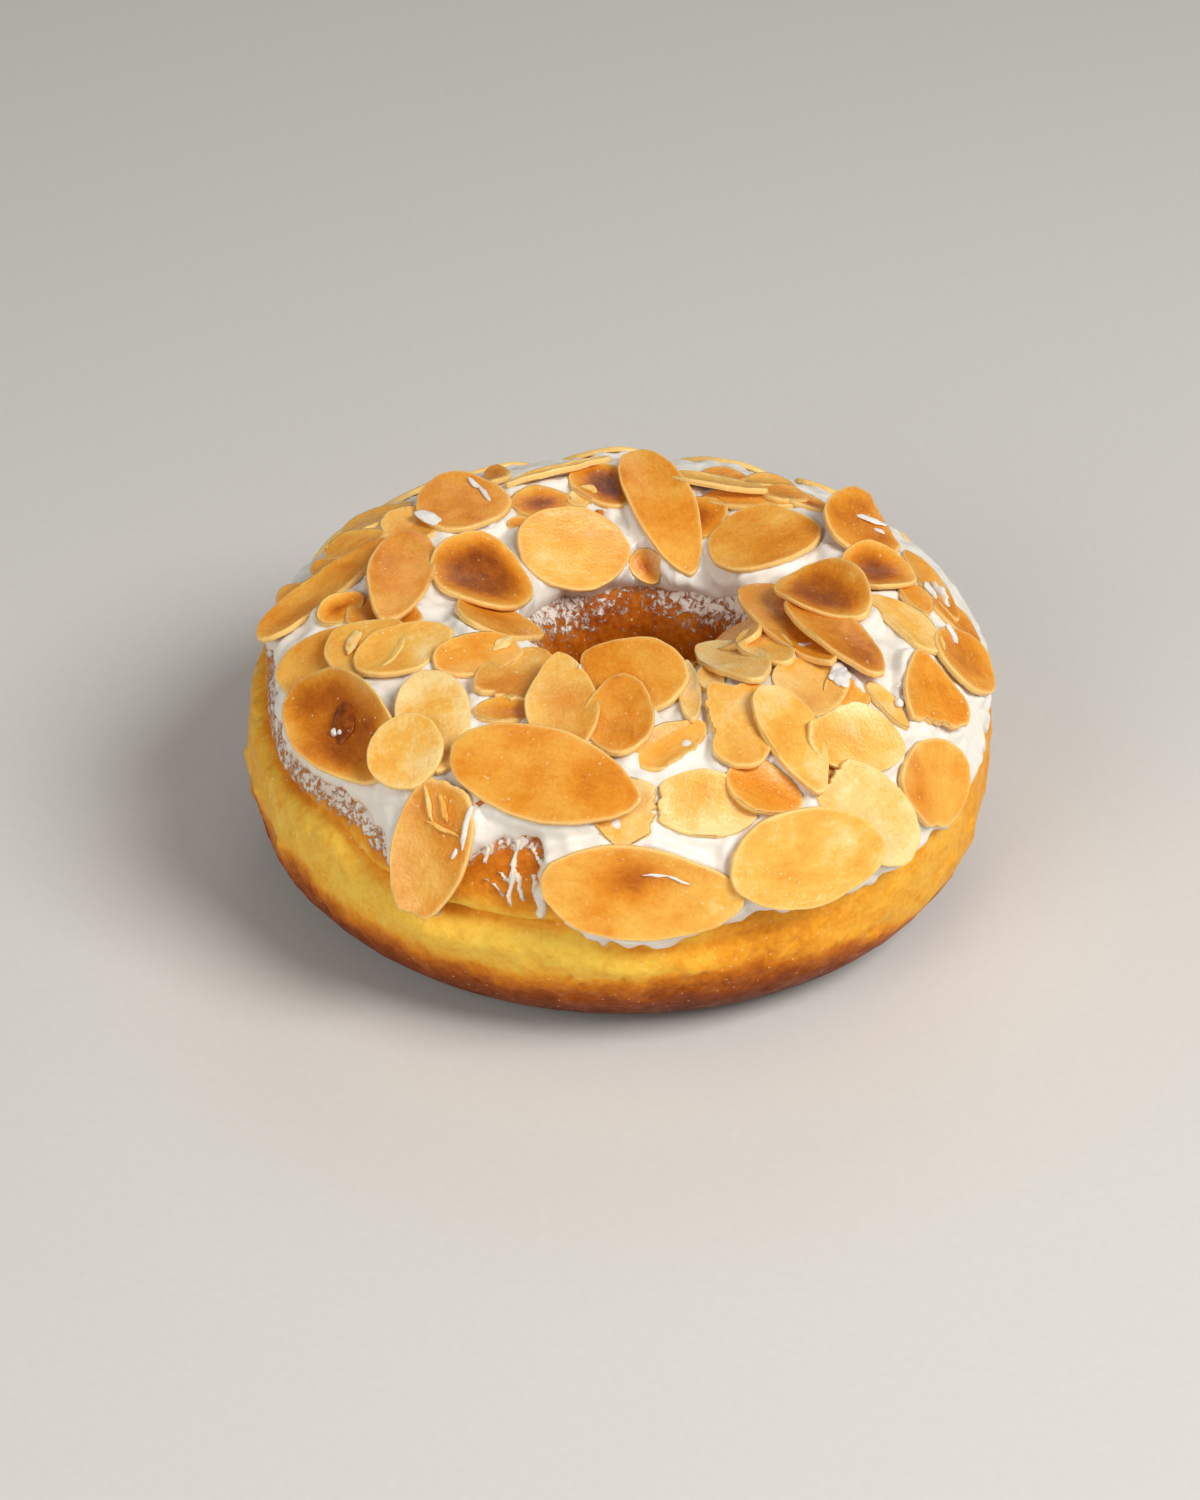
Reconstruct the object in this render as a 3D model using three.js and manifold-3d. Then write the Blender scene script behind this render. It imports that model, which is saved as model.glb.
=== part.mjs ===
// An almond doughnut: a fried yeast-dough ring, a thin coat of white cream over its top,
// and toasted sliced almonds pressed into the cream, overlapping and leaning on each other.
// Millimetres, +Z up, the ring resting on its flat underside at z = 0.
import * as THREE from "three";
import { mergeVertices } from "three/addons/utils/BufferGeometryUtils.js";
import Module from "manifold-3d";

const wasm = await Module();
wasm.setup();

// Driving dimensions of the dough ring.
const RING_DIAMETER = 90;
const RING_HEIGHT = 34.5;
const HOLE_DIAMETER = 19;
const HOLE_OFFSET = new THREE.Vector2(3, 3);
const PRESSED_FLAT = 1;
const SQUARENESS = 2.25;

// The cream coat, measured from the dough's skin, and an almond slice.
const CREAM_GAP = 0.5;
const CREAM_TOP = 1.15;
const CREAM_EDGE = 0.85;
const SLICE_THICKNESS = 1.0;
const SLICE_MIDDLE = 2;
const SLICE_SUNK = 0.35;
const SLICE_ROOT = 0.55;

// Fineness of the faceted solids.
const DOUGH_STEPS = 56;
const CREAM_STEPS = 56;
const SLICE_SIDES = 10;
const SCRAP_SIDES = 7;
const SCRAP_LENGTH = 9.5;

const radians = THREE.MathUtils.degToRad;
const degrees = THREE.MathUtils.radToDeg;

// Places on the ring are given by two angles in degrees. "around" runs counter-clockwise
// seen from above, 0 at the right and 270 at the front. "over" runs over the section,
// 0 at the outward equator, 90 on the crown and 180 at the wall of the hole.

function power(value) {
  return Math.sign(value) * Math.abs(value) ** (2 / SQUARENESS);
}

// The middle of the section at one angle, and the half width that reaches outwards from it.
function section(around) {
  const out = new THREE.Vector2(Math.cos(radians(around)), Math.sin(radians(around)));
  const inner = out.clone().multiplyScalar(HOLE_DIAMETER / 2).add(HOLE_OFFSET);
  const outer = out.clone().multiplyScalar(RING_DIAMETER / 2);
  const middle = inner.clone().add(outer).multiplyScalar(0.5);
  return { middle, half: outer.sub(middle) };
}

function skinPoint(around, over) {
  const { middle, half } = section(around);
  const across = power(Math.cos(radians(over)));
  const up = power(Math.sin(radians(over)));
  const halfHeight = (RING_HEIGHT + PRESSED_FLAT) / 2;
  const z = halfHeight * (1 + up) - PRESSED_FLAT;
  return new THREE.Vector3(middle.x + half.x * across, middle.y + half.y * across, z);
}

function skinNormal(around, over) {
  const step = 0.2;
  const alongRing = skinPoint(around + step, over).sub(skinPoint(around - step, over));
  const overRing = skinPoint(around, over + step).sub(skinPoint(around, over - step));
  return alongRing.cross(overRing).normalize();
}

function above(around, over, height) {
  return skinPoint(around, over).addScaledVector(skinNormal(around, over), height);
}

// How far a point in space is off the dough's skin, below it where negative.
function heightOffSkin(point) {
  let share = 0.5;
  let around = 0;
  for (let pass = 0; pass < 8; pass += 1) {
    const x = point.x - HOLE_OFFSET.x * (1 - share);
    const y = point.y - HOLE_OFFSET.y * (1 - share);
    around = degrees(Math.atan2(y, x));
    share = (Math.hypot(x, y) - HOLE_DIAMETER / 2) / (RING_DIAMETER / 2 - HOLE_DIAMETER / 2);
  }
  const halfWidth = section(around).half.length();
  const halfHeight = (RING_HEIGHT + PRESSED_FLAT) / 2;
  const across = 2 * share - 1;
  const up = (point.z + PRESSED_FLAT) / halfHeight - 1;
  const level = (Math.abs(across) ** SQUARENESS + Math.abs(up) ** SQUARENESS) ** (1 / SQUARENESS);
  return Math.hypot(across * halfWidth, up * halfHeight) * (1 - 1 / level);
}

// A closed ring mesh whose every corner is placed by its own two step numbers.
function ringGeometry(steps, rows, place) {
  const torus = new THREE.TorusGeometry(2, 1, rows, steps);
  torus.deleteAttribute("normal");
  torus.deleteAttribute("uv");
  const geometry = mergeVertices(torus, 1e-4);
  const position = geometry.attributes.position;
  for (let i = 0; i < position.count; i += 1) {
    const [x, y, z] = position.array.slice(3 * i, 3 * i + 3);
    const step = Math.round((Math.atan2(y, x) / (2 * Math.PI)) * steps + steps) % steps;
    const turn = Math.atan2(z, Math.hypot(x, y) - 2) / (2 * Math.PI);
    const row = Math.round(turn * rows + rows) % rows;
    const corner = place((360 * step) / steps, row);
    position.setXYZ(i, corner.x, corner.y, corner.z);
  }
  return geometry;
}

// A smooth closed curve through a few values given round the ring.
function roundTheRing(knots) {
  const sorted = [...knots].sort((a, b) => a[0] - b[0]);
  const [first, last] = [sorted[0], sorted[sorted.length - 1]];
  const looped = [[last[0] - 360, last[1]], ...sorted, [first[0] + 360, first[1]]];
  return (around) => {
    const at = (around + 360) % 360;
    const next = looped.findIndex((knot) => knot[0] > at);
    const [left, right] = [looped[next - 1], looped[next]];
    const share = THREE.MathUtils.smoothstep(at, left[0], right[0]);
    return THREE.MathUtils.lerp(left[1], right[1], share);
  };
}

// The dough ring. The fold under the cream at the front left is a shallow crease, and the
// skin swells and sinks a little, as fried dough does. Low on the ring it rests flat.
const DOUGH_ROWS = [
  -4, 1, 6, 11, 17, 25, 38, 55, 75, 100, 125, 150, 175, 200, 222, 238, 250, 290, 304, 317, 329, 343,
];
const LUMP_HEIGHT = 0.35;
const DIMPLE_HEIGHT = 0.2;
const CREASE_DEPTH = 0.9;
const CREASE_WIDTH = 5;
const COATED_FROM = 17;
const COATED_FULLY = 24;
const COATED_SHARE = 0.25;
const RESTING_TO = 1.7;
const SWELLS_FROM = 10.4;
const creaseOver = roundTheRing([
  [150, 24], [189, 27], [202, 18], [222, 17], [233, 6], [246, 3], [262, 5], [272, -2], [310, 0],
]);
const creaseShare = roundTheRing([
  [150, 0], [195, 0.7], [212, 0.5], [236, 1], [262, 0.8], [285, 0.25], [310, 0],
]);

function doughSwell(around, over) {
  const lumps = LUMP_HEIGHT * Math.sin(radians(3 * around + 40)) * Math.sin(radians(2 * over + 15));
  const dimples = DIMPLE_HEIGHT * Math.sin(radians(7 * around)) * Math.cos(radians(3 * over));
  const coated = THREE.MathUtils.smoothstep(skinPoint(around, over).z, COATED_FROM, COATED_FULLY);
  return (lumps + dimples) * THREE.MathUtils.lerp(1, COATED_SHARE, coated);
}

function doughCrease(around, over) {
  const fromCrease = (over - creaseOver(around)) / CREASE_WIDTH;
  return CREASE_DEPTH * creaseShare(around) * Math.exp(-fromCrease * fromCrease);
}

function doughCorner(around, row) {
  const over = DOUGH_ROWS[row];
  const base = THREE.MathUtils.smoothstep(skinPoint(around, over).z, RESTING_TO, SWELLS_FROM);
  const swell = doughSwell(around, over) - doughCrease(around, over);
  const corner = above(around, over, swell * base);
  corner.z = Math.max(corner.z, 0);
  return corner;
}

// The cream coat. Its lower edge wanders round the outside, and its other edge hangs as a
// lip just inside the hole, thickest at the far side.
const CREAM_OUTER_ROWS = 11;
const CREAM_INNER_ROWS = 7;
const CREAM_WAVE = 0.15;
const ROUNDED_SHARE = 1 / 6;
const LIP_FROM = 34;
const LIP_FULL = 12;
const creamLow = roundTheRing([
  [0, 24], [18, 19], [40, 22], [62, 17], [85, 21], [108, 18], [130, 23], [152, 20], [168, 25], [186, 38],
  [200, 27], [211, 22], [225, 19], [238, 7], [244, 9], [253, 21], [263, 7], [273, 3], [286, 6], [296, 6],
  [307, 4], [318, 8], [328, 8], [341, 15], [350, 22],
]);
const creamInside = roundTheRing([
  [20, 134], [50, 141], [80, 134], [110, 138], [145, 136], [190, 132], [235, 128], [270, 128],
  [300, 136], [325, 138],
]);
const creamLip = roundTheRing([[20, 0.4], [60, 1], [90, 1.2], [130, 1.3], [170, 0.6], [235, 0], [330, 0]]);

function creamCorner(around, row) {
  const low = creamLow(around);
  const high = creamInside(around);
  if (row < CREAM_OUTER_ROWS) {
    const share = row / (CREAM_OUTER_ROWS - 1);
    const over = THREE.MathUtils.lerp(low, high, share);
    const rim = Math.min(1, Math.min(share, 1 - share) / ROUNDED_SHARE);
    const nearLip = THREE.MathUtils.smoothstep(over, high - LIP_FROM, high - LIP_FULL);
    const waves = CREAM_WAVE * Math.sin(radians(9 * around + 4 * over)) * rim;
    const height = THREE.MathUtils.lerp(CREAM_EDGE, CREAM_TOP, rim) + creamLip(around) * nearLip + waves;
    return above(around, over, height + doughSwell(around, over));
  }
  const over = THREE.MathUtils.lerp(high, low, (row - CREAM_OUTER_ROWS) / (CREAM_INNER_ROWS - 1));
  return above(around, over, CREAM_GAP + doughSwell(around, over));
}

// Almond slices that show, from tail to tip, as [around, over] places, with the width in mm.
// lift raises tail and tip off the cream, lean raises its right side, in degrees about its length,
// cup raises its long edges, bow raises its middle, and point narrows the tip.
const SLICES = [
  // Left and far left.
  { tail: [184.5, 39], tip: [164, 84], wide: 7, lean: -10 },
  { tail: [158.5, 89], tip: [199, 82.5], wide: 8, lean: 13, lift: [1.3, 1] },
  { tail: [175.5, 96], tip: [167, 132.5], wide: 13.75, lean: -6, cup: 1.2, lift: [0.9, 0.9], bow: 0.6 },
  { tail: [156.5, 77], tip: [143, 87], wide: 8, lean: -6 },
  { tail: [144.5, 78], tip: [130.5, 100], wide: 12.75, lean: -7, lift: [0.8, 0.8] },
  { tail: [152.5, 55.5], tip: [141, 72], wide: 7.25, lean: -2 },
  { tail: [162.5, 58.5], tip: [155, 76], wide: 7.25, lean: -3 },
  { tail: [173.5, 44.5], tip: [170.5, 54.5], wide: 5.25, lean: -7 },
  { tail: [167.5, 56], tip: [164.5, 65], wide: 4.5, lean: -1 },
  { tail: [188.5, 63.5], tip: [185, 80], wide: 4.5, lean: -24 },
  { tail: [188, 74], tip: [200, 92], wide: 8 },
  { tail: [206, 61], tip: [202, 87], wide: 10.5, lift: [0.5, 0.8] },
  { tail: [210, 66.5], tip: [212.5, 96], wide: 8.5, lean: -6, lift: [0.8, 1.2] },
  { tail: [204, 46], tip: [194, 72], wide: 11 },
  { tail: [203, 49], tip: [231.5, 45.5], wide: 11.5, lean: 2, cup: 1.8, lift: [0.4, 0.4], point: 0.1 },
  { tail: [228.5, 63.5], tip: [236.5, 41], wide: 9, lean: 8, cup: 0.3, lift: [1.8, 1.8], point: 0.05 },
  { tail: [221, 81.5], tip: [239.5, 50.5], wide: 8.75, lean: 12 },
  { tail: [196.5, 102.5], tip: [210, 131.5], wide: 12, lean: 4 },
  { tail: [221, 83.5], tip: [225.5, 113], wide: 6.5, lean: -21 },
  { tail: [240, 81], tip: [230, 117], wide: 9 },
  { tail: [237, 76.5], tip: [250.5, 86.5], wide: 4.75 },
  // Front.
  { tail: [242, 52], tip: [241.5, 2.5], wide: 9.75, lean: 1, lift: [0.3, 0.3], point: 0.1 },
  { tail: [240, 58], tip: [272.5, 49.5], wide: 11.5, lean: -3, cup: 0.5, lift: [1.2, 1.2] },
  { tail: [270.5, 60.5], tip: [269.5, 36.5], wide: 9, lean: -1 },
  { tail: [259, 64], tip: [245, 106.5], wide: 8.75, lean: -1, lift: [0.6, 1.5], point: 0.5 },
  { tail: [268, 67], tip: [266.5, 98.5], wide: 8.25, lean: 5, lift: [0.2, 1.8] },
  { tail: [283, 91], tip: [253, 109], wide: 10.5, lean: 30, lift: [0, 0.6] },
  { tail: [282.5, 79.5], tip: [286.5, 111.5], wide: 2.75, lean: -1, lift: [0.5, 1] },
  { tail: [290, 91.5], tip: [295, 114], wide: 3.25, lean: -2 },
  { tail: [272, 64.5], tip: [285.5, 80], wide: 5.5, lean: -4, cup: 1 },
  { tail: [258.5, 23], tip: [286.5, 16], wide: 11, lift: [0.3, 0.3], point: 0.15 },
  { tail: [274, 52], tip: [291, 44], wide: 7.75, lean: 2, point: 0.1 },
  { tail: [286.5, 58], tip: [298, 42], wide: 7, lean: 13 },
  { tail: [303, 54], tip: [304, 44], wide: 5 },
  // Right front and right.
  { tail: [295.5, 95], tip: [289.5, 57], wide: 8.75, lean: -1, cup: 0.3, lift: [0.6, 0.6], point: 0 },
  { tail: [300, 87], tip: [300, 41], wide: 7.25, lean: 6, lift: [1, 1] },
  { tail: [302.5, 64.5], tip: [318.5, 45.5], wide: 8.75, lean: -8, lift: [1.2, 0.8], point: 0.1 },
  { tail: [319, 93], tip: [308, 70], wide: 9 },
  { tail: [313, 74], tip: [323, 72], wide: 6 },
  { tail: [301.5, 53.5], tip: [314, 10.5], wide: 9.25, lean: -7, lift: [0.6, 0.3], point: 0.1 },
  { tail: [284, 27], tip: [309, 20.5], wide: 11.3, cup: 0.3, lift: [1.2, 1.2], point: 0.1 },
  { tail: [326, 42], tip: [320.5, 13], wide: 12.25, lean: -1, point: 0.35 },
  { tail: [325.5, 36.5], tip: [338.5, 66.5], wide: 9, lean: 4, cup: 0.8, lift: [0.8, 0.8], point: 0.6 },
  { tail: [323, 72.5], tip: [323, 50], wide: 2.75 },
  { tail: [348.5, 62.5], tip: [345.5, 33], wide: 10.25, lean: -1, lift: [0.3, 1] },
  { tail: [351, 89], tip: [343, 57.5], wide: 7, lift: [0.3, 0.3] },
  { tail: [14.5, 130], tip: [319, 83], wide: 8.5, lean: 13, cup: 1, lift: [0.3, 0.3] },
  { tail: [342, 112.5], tip: [323.5, 67.5], wide: 7.5, lean: 10, cup: 0.8, lift: [1, 0.8] },
  { tail: [4, 115], tip: [341, 86], wide: 9.5, lean: -6, cup: 1.8, lift: [1.3, 1.3] },
  { tail: [4, 97.5], tip: [4.5, 70.5], wide: 9.5, lean: -5, cup: 1.4, lift: [0.6, 0.6] },
  { tail: [17, 68.5], tip: [357, 53.5], wide: 4, lean: -5 },
  { tail: [1, 65], tip: [355.5, 41.5], wide: 5.5, lean: -1 },
  { tail: [2, 76], tip: [354, 66], wide: 4 },
  { tail: [333, 142], tip: [314, 109], wide: 7.5, lean: -4, lift: [1.2, 1.2] },
  { tail: [321, 121], tip: [312, 92], wide: 6, lean: 2, lift: [1.2, 0.4] },
  { tail: [310.5, 135], tip: [300, 85], wide: 7.5, lean: 3, lift: [0.5, 0.5] },
  { tail: [303, 150], tip: [296, 124], wide: 5.5 },
  { tail: [283, 128], tip: [296, 122], wide: 4 },
  // Far side.
  { tail: [55.5, 124.5], tip: [24.5, 94.5], wide: 12.25, lean: 2, lift: [0.6, 0.6] },
  { tail: [11, 85], tip: [34.5, 74.5], wide: 10.25, lean: -6, lift: [0.4, 3.4] },
  { tail: [81, 93], tip: [51.5, 90.5], wide: 5.25, lean: 18, lift: [0.8, 0.8] },
  { tail: [72.5, 85.5], tip: [60.5, 82.5], wide: 4 },
  { tail: [61.5, 82.5], tip: [51, 73.5], wide: 4.75 },
  { tail: [54.5, 87.5], tip: [43.5, 82.5], wide: 5.25, lean: 7 },
  { tail: [68, 100], tip: [43.5, 87.5], wide: 4.5 },
  { tail: [51.5, 84.5], tip: [37.5, 80], wide: 4.5, lean: 8 },
  { tail: [70, 102], tip: [59, 120], wide: 7 },
  { tail: [89, 82], tip: [57.5, 139], wide: 8, lean: 6, cup: 0.8, lift: [1.6, 0.8], bow: 1.2 },
  { tail: [145, 115], tip: [96, 133], wide: 11.25, lean: -5, cup: 0.3, lift: [0.8, 0.8], point: 0.1 },
  { tail: [124, 89], tip: [93.5, 80], wide: 3, lean: 14, lift: [0.8, 0.8] },
  { tail: [122.5, 73], tip: [117.5, 78.5], wide: 6 },
  { tail: [101, 84], tip: [94, 110], wide: 8 },
  { tail: [109, 98], tip: [103, 107], wide: 5 },
  { tail: [128, 97], tip: [110, 103], wide: 7 },
  { tail: [135.5, 104], tip: [128, 110.5], wide: 2.5, lean: 1 },
  { tail: [91.5, 129.5], tip: [80, 143], wide: 4, lean: 1 },
];

// Slices on the far slope follow the same look by a seeded rule: staggered rows of places,
// each with its own turn, length and width, and bowed and cupped down to follow the slope.
const HIDDEN_ROWS = [
  { over: 21, from: 40, to: 140, apart: 20 },
  { over: 39, from: 50, to: 130, apart: 20 },
];
const HIDDEN_SEED = 20219;
const HALF_AROUND = 10;
const HALF_OVER = 14;

function seededRandom(seed) {
  let state = seed;
  return () => {
    state = (state * 16807) % 2147483647;
    return state / 2147483647;
  };
}

function hiddenSlices() {
  const random = seededRandom(HIDDEN_SEED);
  const between = (low, high) => low + (high - low) * random();
  const slices = [];
  for (const { over, from, to, apart } of HIDDEN_ROWS) {
    for (let around = from; around <= to; around += apart) {
      const turn = between(-1, 1);
      const half = between(0.8, 1.15);
      const middle = [around + between(-3, 3), over + between(-4, 4)];
      const along = HALF_AROUND * half * Math.sqrt(1 - turn * turn);
      const up = HALF_OVER * half * turn;
      slices.push({
        tail: [middle[0] - along, middle[1] - up],
        tip: [middle[0] + along, middle[1] + up],
        wide: between(8.5, 11.5),
        lean: between(-3, 3),
        cup: between(-0.6, 0),
        lift: [between(0, 0.3), between(0, 0.3)],
        bow: 0.8,
      });
    }
  }
  return slices;
}

// One slice: a round disc drawn out to an almond's outline, cupped and bowed, set down on
// the cream at its tail and tip, with its underside filled down into the cream.
function sliceGeometry({ tail, tip, wide, lean = 0, cup = 0.4, lift = [0, 0], bow = 0, point = 0.3 }) {
  const from = above(...tail, SLICE_MIDDLE);
  const to = above(...tip, SLICE_MIDDLE);
  const length = from.distanceTo(to);
  const along = to.clone().sub(from).divideScalar(length);
  const turn = ((tip[0] - tail[0] + 540) % 360) - 180;
  const outward = skinNormal(tail[0] + turn / 2, (tail[1] + tip[1]) / 2);
  const face = outward.clone().addScaledVector(along, -outward.dot(along)).normalize();
  face.applyAxisAngle(along, radians(-lean));
  const side = along.clone().cross(face);
  const centre = from.clone().add(to).multiplyScalar(0.5);

  const sides = length > SCRAP_LENGTH ? SLICE_SIDES : SCRAP_SIDES;
  const disc = new THREE.CylinderGeometry(1, 1, 1, sides, 1);
  disc.deleteAttribute("normal");
  disc.deleteAttribute("uv");
  const geometry = mergeVertices(disc, 1e-4);
  const position = geometry.attributes.position;
  const corners = [];
  for (let i = 0; i < position.count; i += 1) {
    const u = position.getX(i);
    const v = position.getZ(i) * (1 - point * Math.max(0, u));
    const under = position.getY(i) < 0;
    const rise = cup * v * v + bow * (1 - u * u) - (under ? SLICE_THICKNESS : 0);
    const corner = centre.clone().addScaledVector(along, (u * length) / 2);
    corner.addScaledVector(side, (v * wide) / 2).addScaledVector(face, rise);
    corners.push({ corner, u, under, middle: Math.hypot(u, v) < 0.01 });
  }
  const lowest = Math.min(...corners.filter((c) => c.under).map((c) => heightOffSkin(c.corner)));
  for (const { corner, u } of corners) {
    corner.addScaledVector(face, CREAM_TOP - SLICE_SUNK - lowest);
    corner.addScaledVector(outward, (lift[0] * (1 - u)) / 2 + (lift[1] * (1 + u)) / 2);
  }
  const root = corners.find((c) => c.under && c.middle).corner;
  root.addScaledVector(outward, Math.min(0, SLICE_ROOT - heightOffSkin(root)));
  corners.forEach(({ corner }, i) => position.setXYZ(i, corner.x, corner.y, corner.z));
  return geometry;
}

function toSolid(geometry) {
  const mesh = new wasm.Mesh({
    numProp: 3,
    vertProperties: geometry.attributes.position.array,
    triVerts: Uint32Array.from(geometry.index.array),
  });
  return new wasm.Manifold(mesh);
}

function toGeometry(solid) {
  const mesh = solid.getMesh();
  const geometry = new THREE.BufferGeometry();
  geometry.setAttribute("position", new THREE.BufferAttribute(mesh.vertProperties, 3));
  geometry.setIndex(new THREE.BufferAttribute(mesh.triVerts, 1));
  return geometry;
}

// The outer shell alone, so that no sealed pocket stays between slices and cream.
function outerShell(geometry) {
  const corners = geometry.index.array;
  const parent = Uint32Array.from({ length: geometry.attributes.position.count }, (_, i) => i);
  const rootOf = (corner) => {
    let root = corner;
    while (parent[root] !== root) root = parent[root];
    parent[corner] = root;
    return root;
  };
  for (let i = 0; i < corners.length; i += 3) {
    parent[rootOf(corners[i])] = rootOf(corners[i + 1]);
    parent[rootOf(corners[i + 1])] = rootOf(corners[i + 2]);
  }
  const faceCounts = new Map();
  for (let i = 0; i < corners.length; i += 3) {
    const root = rootOf(corners[i]);
    faceCounts.set(root, (faceCounts.get(root) ?? 0) + 1);
  }
  const [outer] = [...faceCounts].reduce((most, shell) => (shell[1] > most[1] ? shell : most));
  geometry.setIndex([...corners].filter((_, i) => rootOf(corners[i - (i % 3)]) === outer));
  return mergeVertices(geometry, 1e-6);
}

function toppingGeometry() {
  const cream = toSolid(ringGeometry(CREAM_STEPS, CREAM_OUTER_ROWS + CREAM_INNER_ROWS, creamCorner));
  const slices = [...SLICES, ...hiddenSlices()].map((slice) => toSolid(sliceGeometry(slice)));
  return outerShell(toGeometry(slices.reduce((joined, slice) => joined.add(slice), cream)));
}

const friedDough = new THREE.MeshStandardMaterial({ color: 0xd99a3c, roughness: 0.7, metalness: 0 });
const toastedAlmond = new THREE.MeshStandardMaterial({ color: 0xe0a552, roughness: 0.45, metalness: 0 });

const dough = new THREE.Mesh(ringGeometry(DOUGH_STEPS, DOUGH_ROWS.length, doughCorner), friedDough);
dough.name = "dough_ring";

const topping = new THREE.Mesh(toppingGeometry(), toastedAlmond);
topping.name = "cream_and_almonds";

const doughnut = new THREE.Group();
doughnut.add(dough, topping);

export default doughnut;
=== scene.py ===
"""The looks of the almond doughnut: its fried dough ring, the white cream spread over it and
the toasted almond slices pressed into the cream. Metres, +Z up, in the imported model's frame."""

import math

import bpy
import numpy as np
from bpy.props import FloatProperty, FloatVectorProperty, PointerProperty
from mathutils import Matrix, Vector, noise


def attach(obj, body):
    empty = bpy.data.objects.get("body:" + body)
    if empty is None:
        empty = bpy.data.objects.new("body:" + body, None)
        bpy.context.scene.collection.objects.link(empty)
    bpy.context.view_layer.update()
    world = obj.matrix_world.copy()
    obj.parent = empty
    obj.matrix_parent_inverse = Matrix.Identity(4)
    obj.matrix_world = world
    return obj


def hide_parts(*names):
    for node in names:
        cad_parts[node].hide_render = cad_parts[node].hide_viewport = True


bl_info = {
    "name": "Almond Doughnut",
    "version": (1, 0, 0),
    "blender": (4, 5, 0),
    "location": "View3D > Sidebar > Doughnut",
    "description": "Builds a fried ring doughnut with white cream and toasted almond slices",
    "category": "Add Mesh",
}

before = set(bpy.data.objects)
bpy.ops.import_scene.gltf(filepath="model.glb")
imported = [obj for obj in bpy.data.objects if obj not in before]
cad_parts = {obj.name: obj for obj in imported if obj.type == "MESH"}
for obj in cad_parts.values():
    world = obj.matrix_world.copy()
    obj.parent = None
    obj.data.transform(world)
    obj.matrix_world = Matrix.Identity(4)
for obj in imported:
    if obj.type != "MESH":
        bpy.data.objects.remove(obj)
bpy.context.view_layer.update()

MM = 0.001

# The dough's section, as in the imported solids: an oval squared off by SQUARENESS and pressed
# flat underneath, with low lumps, dimples and a wide fold. In mm, the fold's width in degrees.
PRESSED_FLAT = 1
SQUARENESS = 2.25
LUMP_HEIGHT = 0.35
DIMPLE_HEIGHT = 0.2
CREASE_DEPTH = 0.9
CREASE_WIDTH = 5

# How the slices lie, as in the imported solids, in mm: how far off the skin their ends start, how
# deep they sink into the cream, and how thick a slice and the cream are there.
SLICE_MIDDLE = 2
SLICE_SUNK = 0.35
PACKED_SLICE = 1.0
PACKED_CREAM = 1.15

# One degree in mm at the front: around the ring, over its outside, and over the hole's wall.
AROUND_MM = 0.73
OVER_MM = 0.31
HOLE_MM = 0.28

# Values round the ring, each list as [angle around, value]. First the dough: how high over the
# section the fold runs and how deep it is, the top and bottom of the pale band and its tone.
CREASE_OVER = [
    [150, 24], [189, 27], [202, 18], [222, 17], [233, 6], [246, 3], [262, 5], [272, -2], [310, 0],
]
CREASE_SHARE = [[150, 0], [195, 0.7], [212, 0.5], [236, 1], [262, 0.8], [285, 0.25], [310, 0]]
BAND_TOP = [
    [0, 12], [60, 14], [120, 12], [165, 20], [178, 27], [189, 25], [196, 19], [202, 16],
    [207, 13], [213, 14], [218, 18], [223, 18], [228, 16], [231, 10], [236, 8], [246, 9],
    [262, 8], [275, 1], [290, 6], [307, 4], [318, 7], [328, 6], [341, 11], [350, 15],
]
BAND_LOW = [
    [0, -24], [60, -18], [120, -18], [170, -10], [200, -6], [212, -7], [220, -9], [230, -13],
    [240, -17], [260, -17], [270, -18], [282, -15], [290, -12], [300, -16], [310, -20],
    [322, -25], [340, -28],
]
BAND_TONE = [
    [0, 0.24], [160, 0.18], [195, 0.14], [212, 0.09], [225, 0.04], [265, 0.03], [276, 0.14],
    [290, 0.34], [304, 0.24], [325, 0.16], [345, 0.24],
]
# The cream: where it ends outside and in the hole, how ragged, dragged down and thin its outer
# edge is, and how much thicker its lip.
CREAM_LOW = [
    [0, 24], [18, 19], [40, 22], [62, 17], [85, 21], [108, 18], [130, 23], [152, 20], [168, 25],
    [186, 40], [194, 36], [200, 32], [206, 29], [213, 29], [220, 31], [227, 30], [232, 24],
    [236, 10], [238.5, 3], [242, 3], [245, 20], [249, 32], [253, 36], [257, 37], [260, 26],
    [263, 4], [268, -1], [276, -1], [283, 4], [290, 6], [298, 5], [307, 4], [318, 8], [328, 8],
    [341, 15], [350, 22],
]
CREAM_INSIDE = [
    [20, 134], [50, 143], [80, 143], [110, 145], [145, 141], [190, 132], [235, 128],
    [270, 128], [300, 136], [325, 138],
]
EDGE_RAGGED = [[0, 1], [190, 1], [210, 1.2], [232, 1.2], [252, 1], [266, 1.2], [290, 1]]
EDGE_DRAGGED = [
    [0, 3], [150, 2], [180, 4], [204, 1.5], [240, 1.5], [256, 3], [266, 2], [290, 1.5], [340, 5],
]
EDGE_THIN = [[0, 0.5], [185, 0.6], [204, 1.3], [228, 1.3], [238, 0.5]]
CREAM_LIP = [[20, 0.4], [60, 1], [90, 1.2], [130, 1.3], [170, 0.6], [235, 0], [330, 0]]
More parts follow.
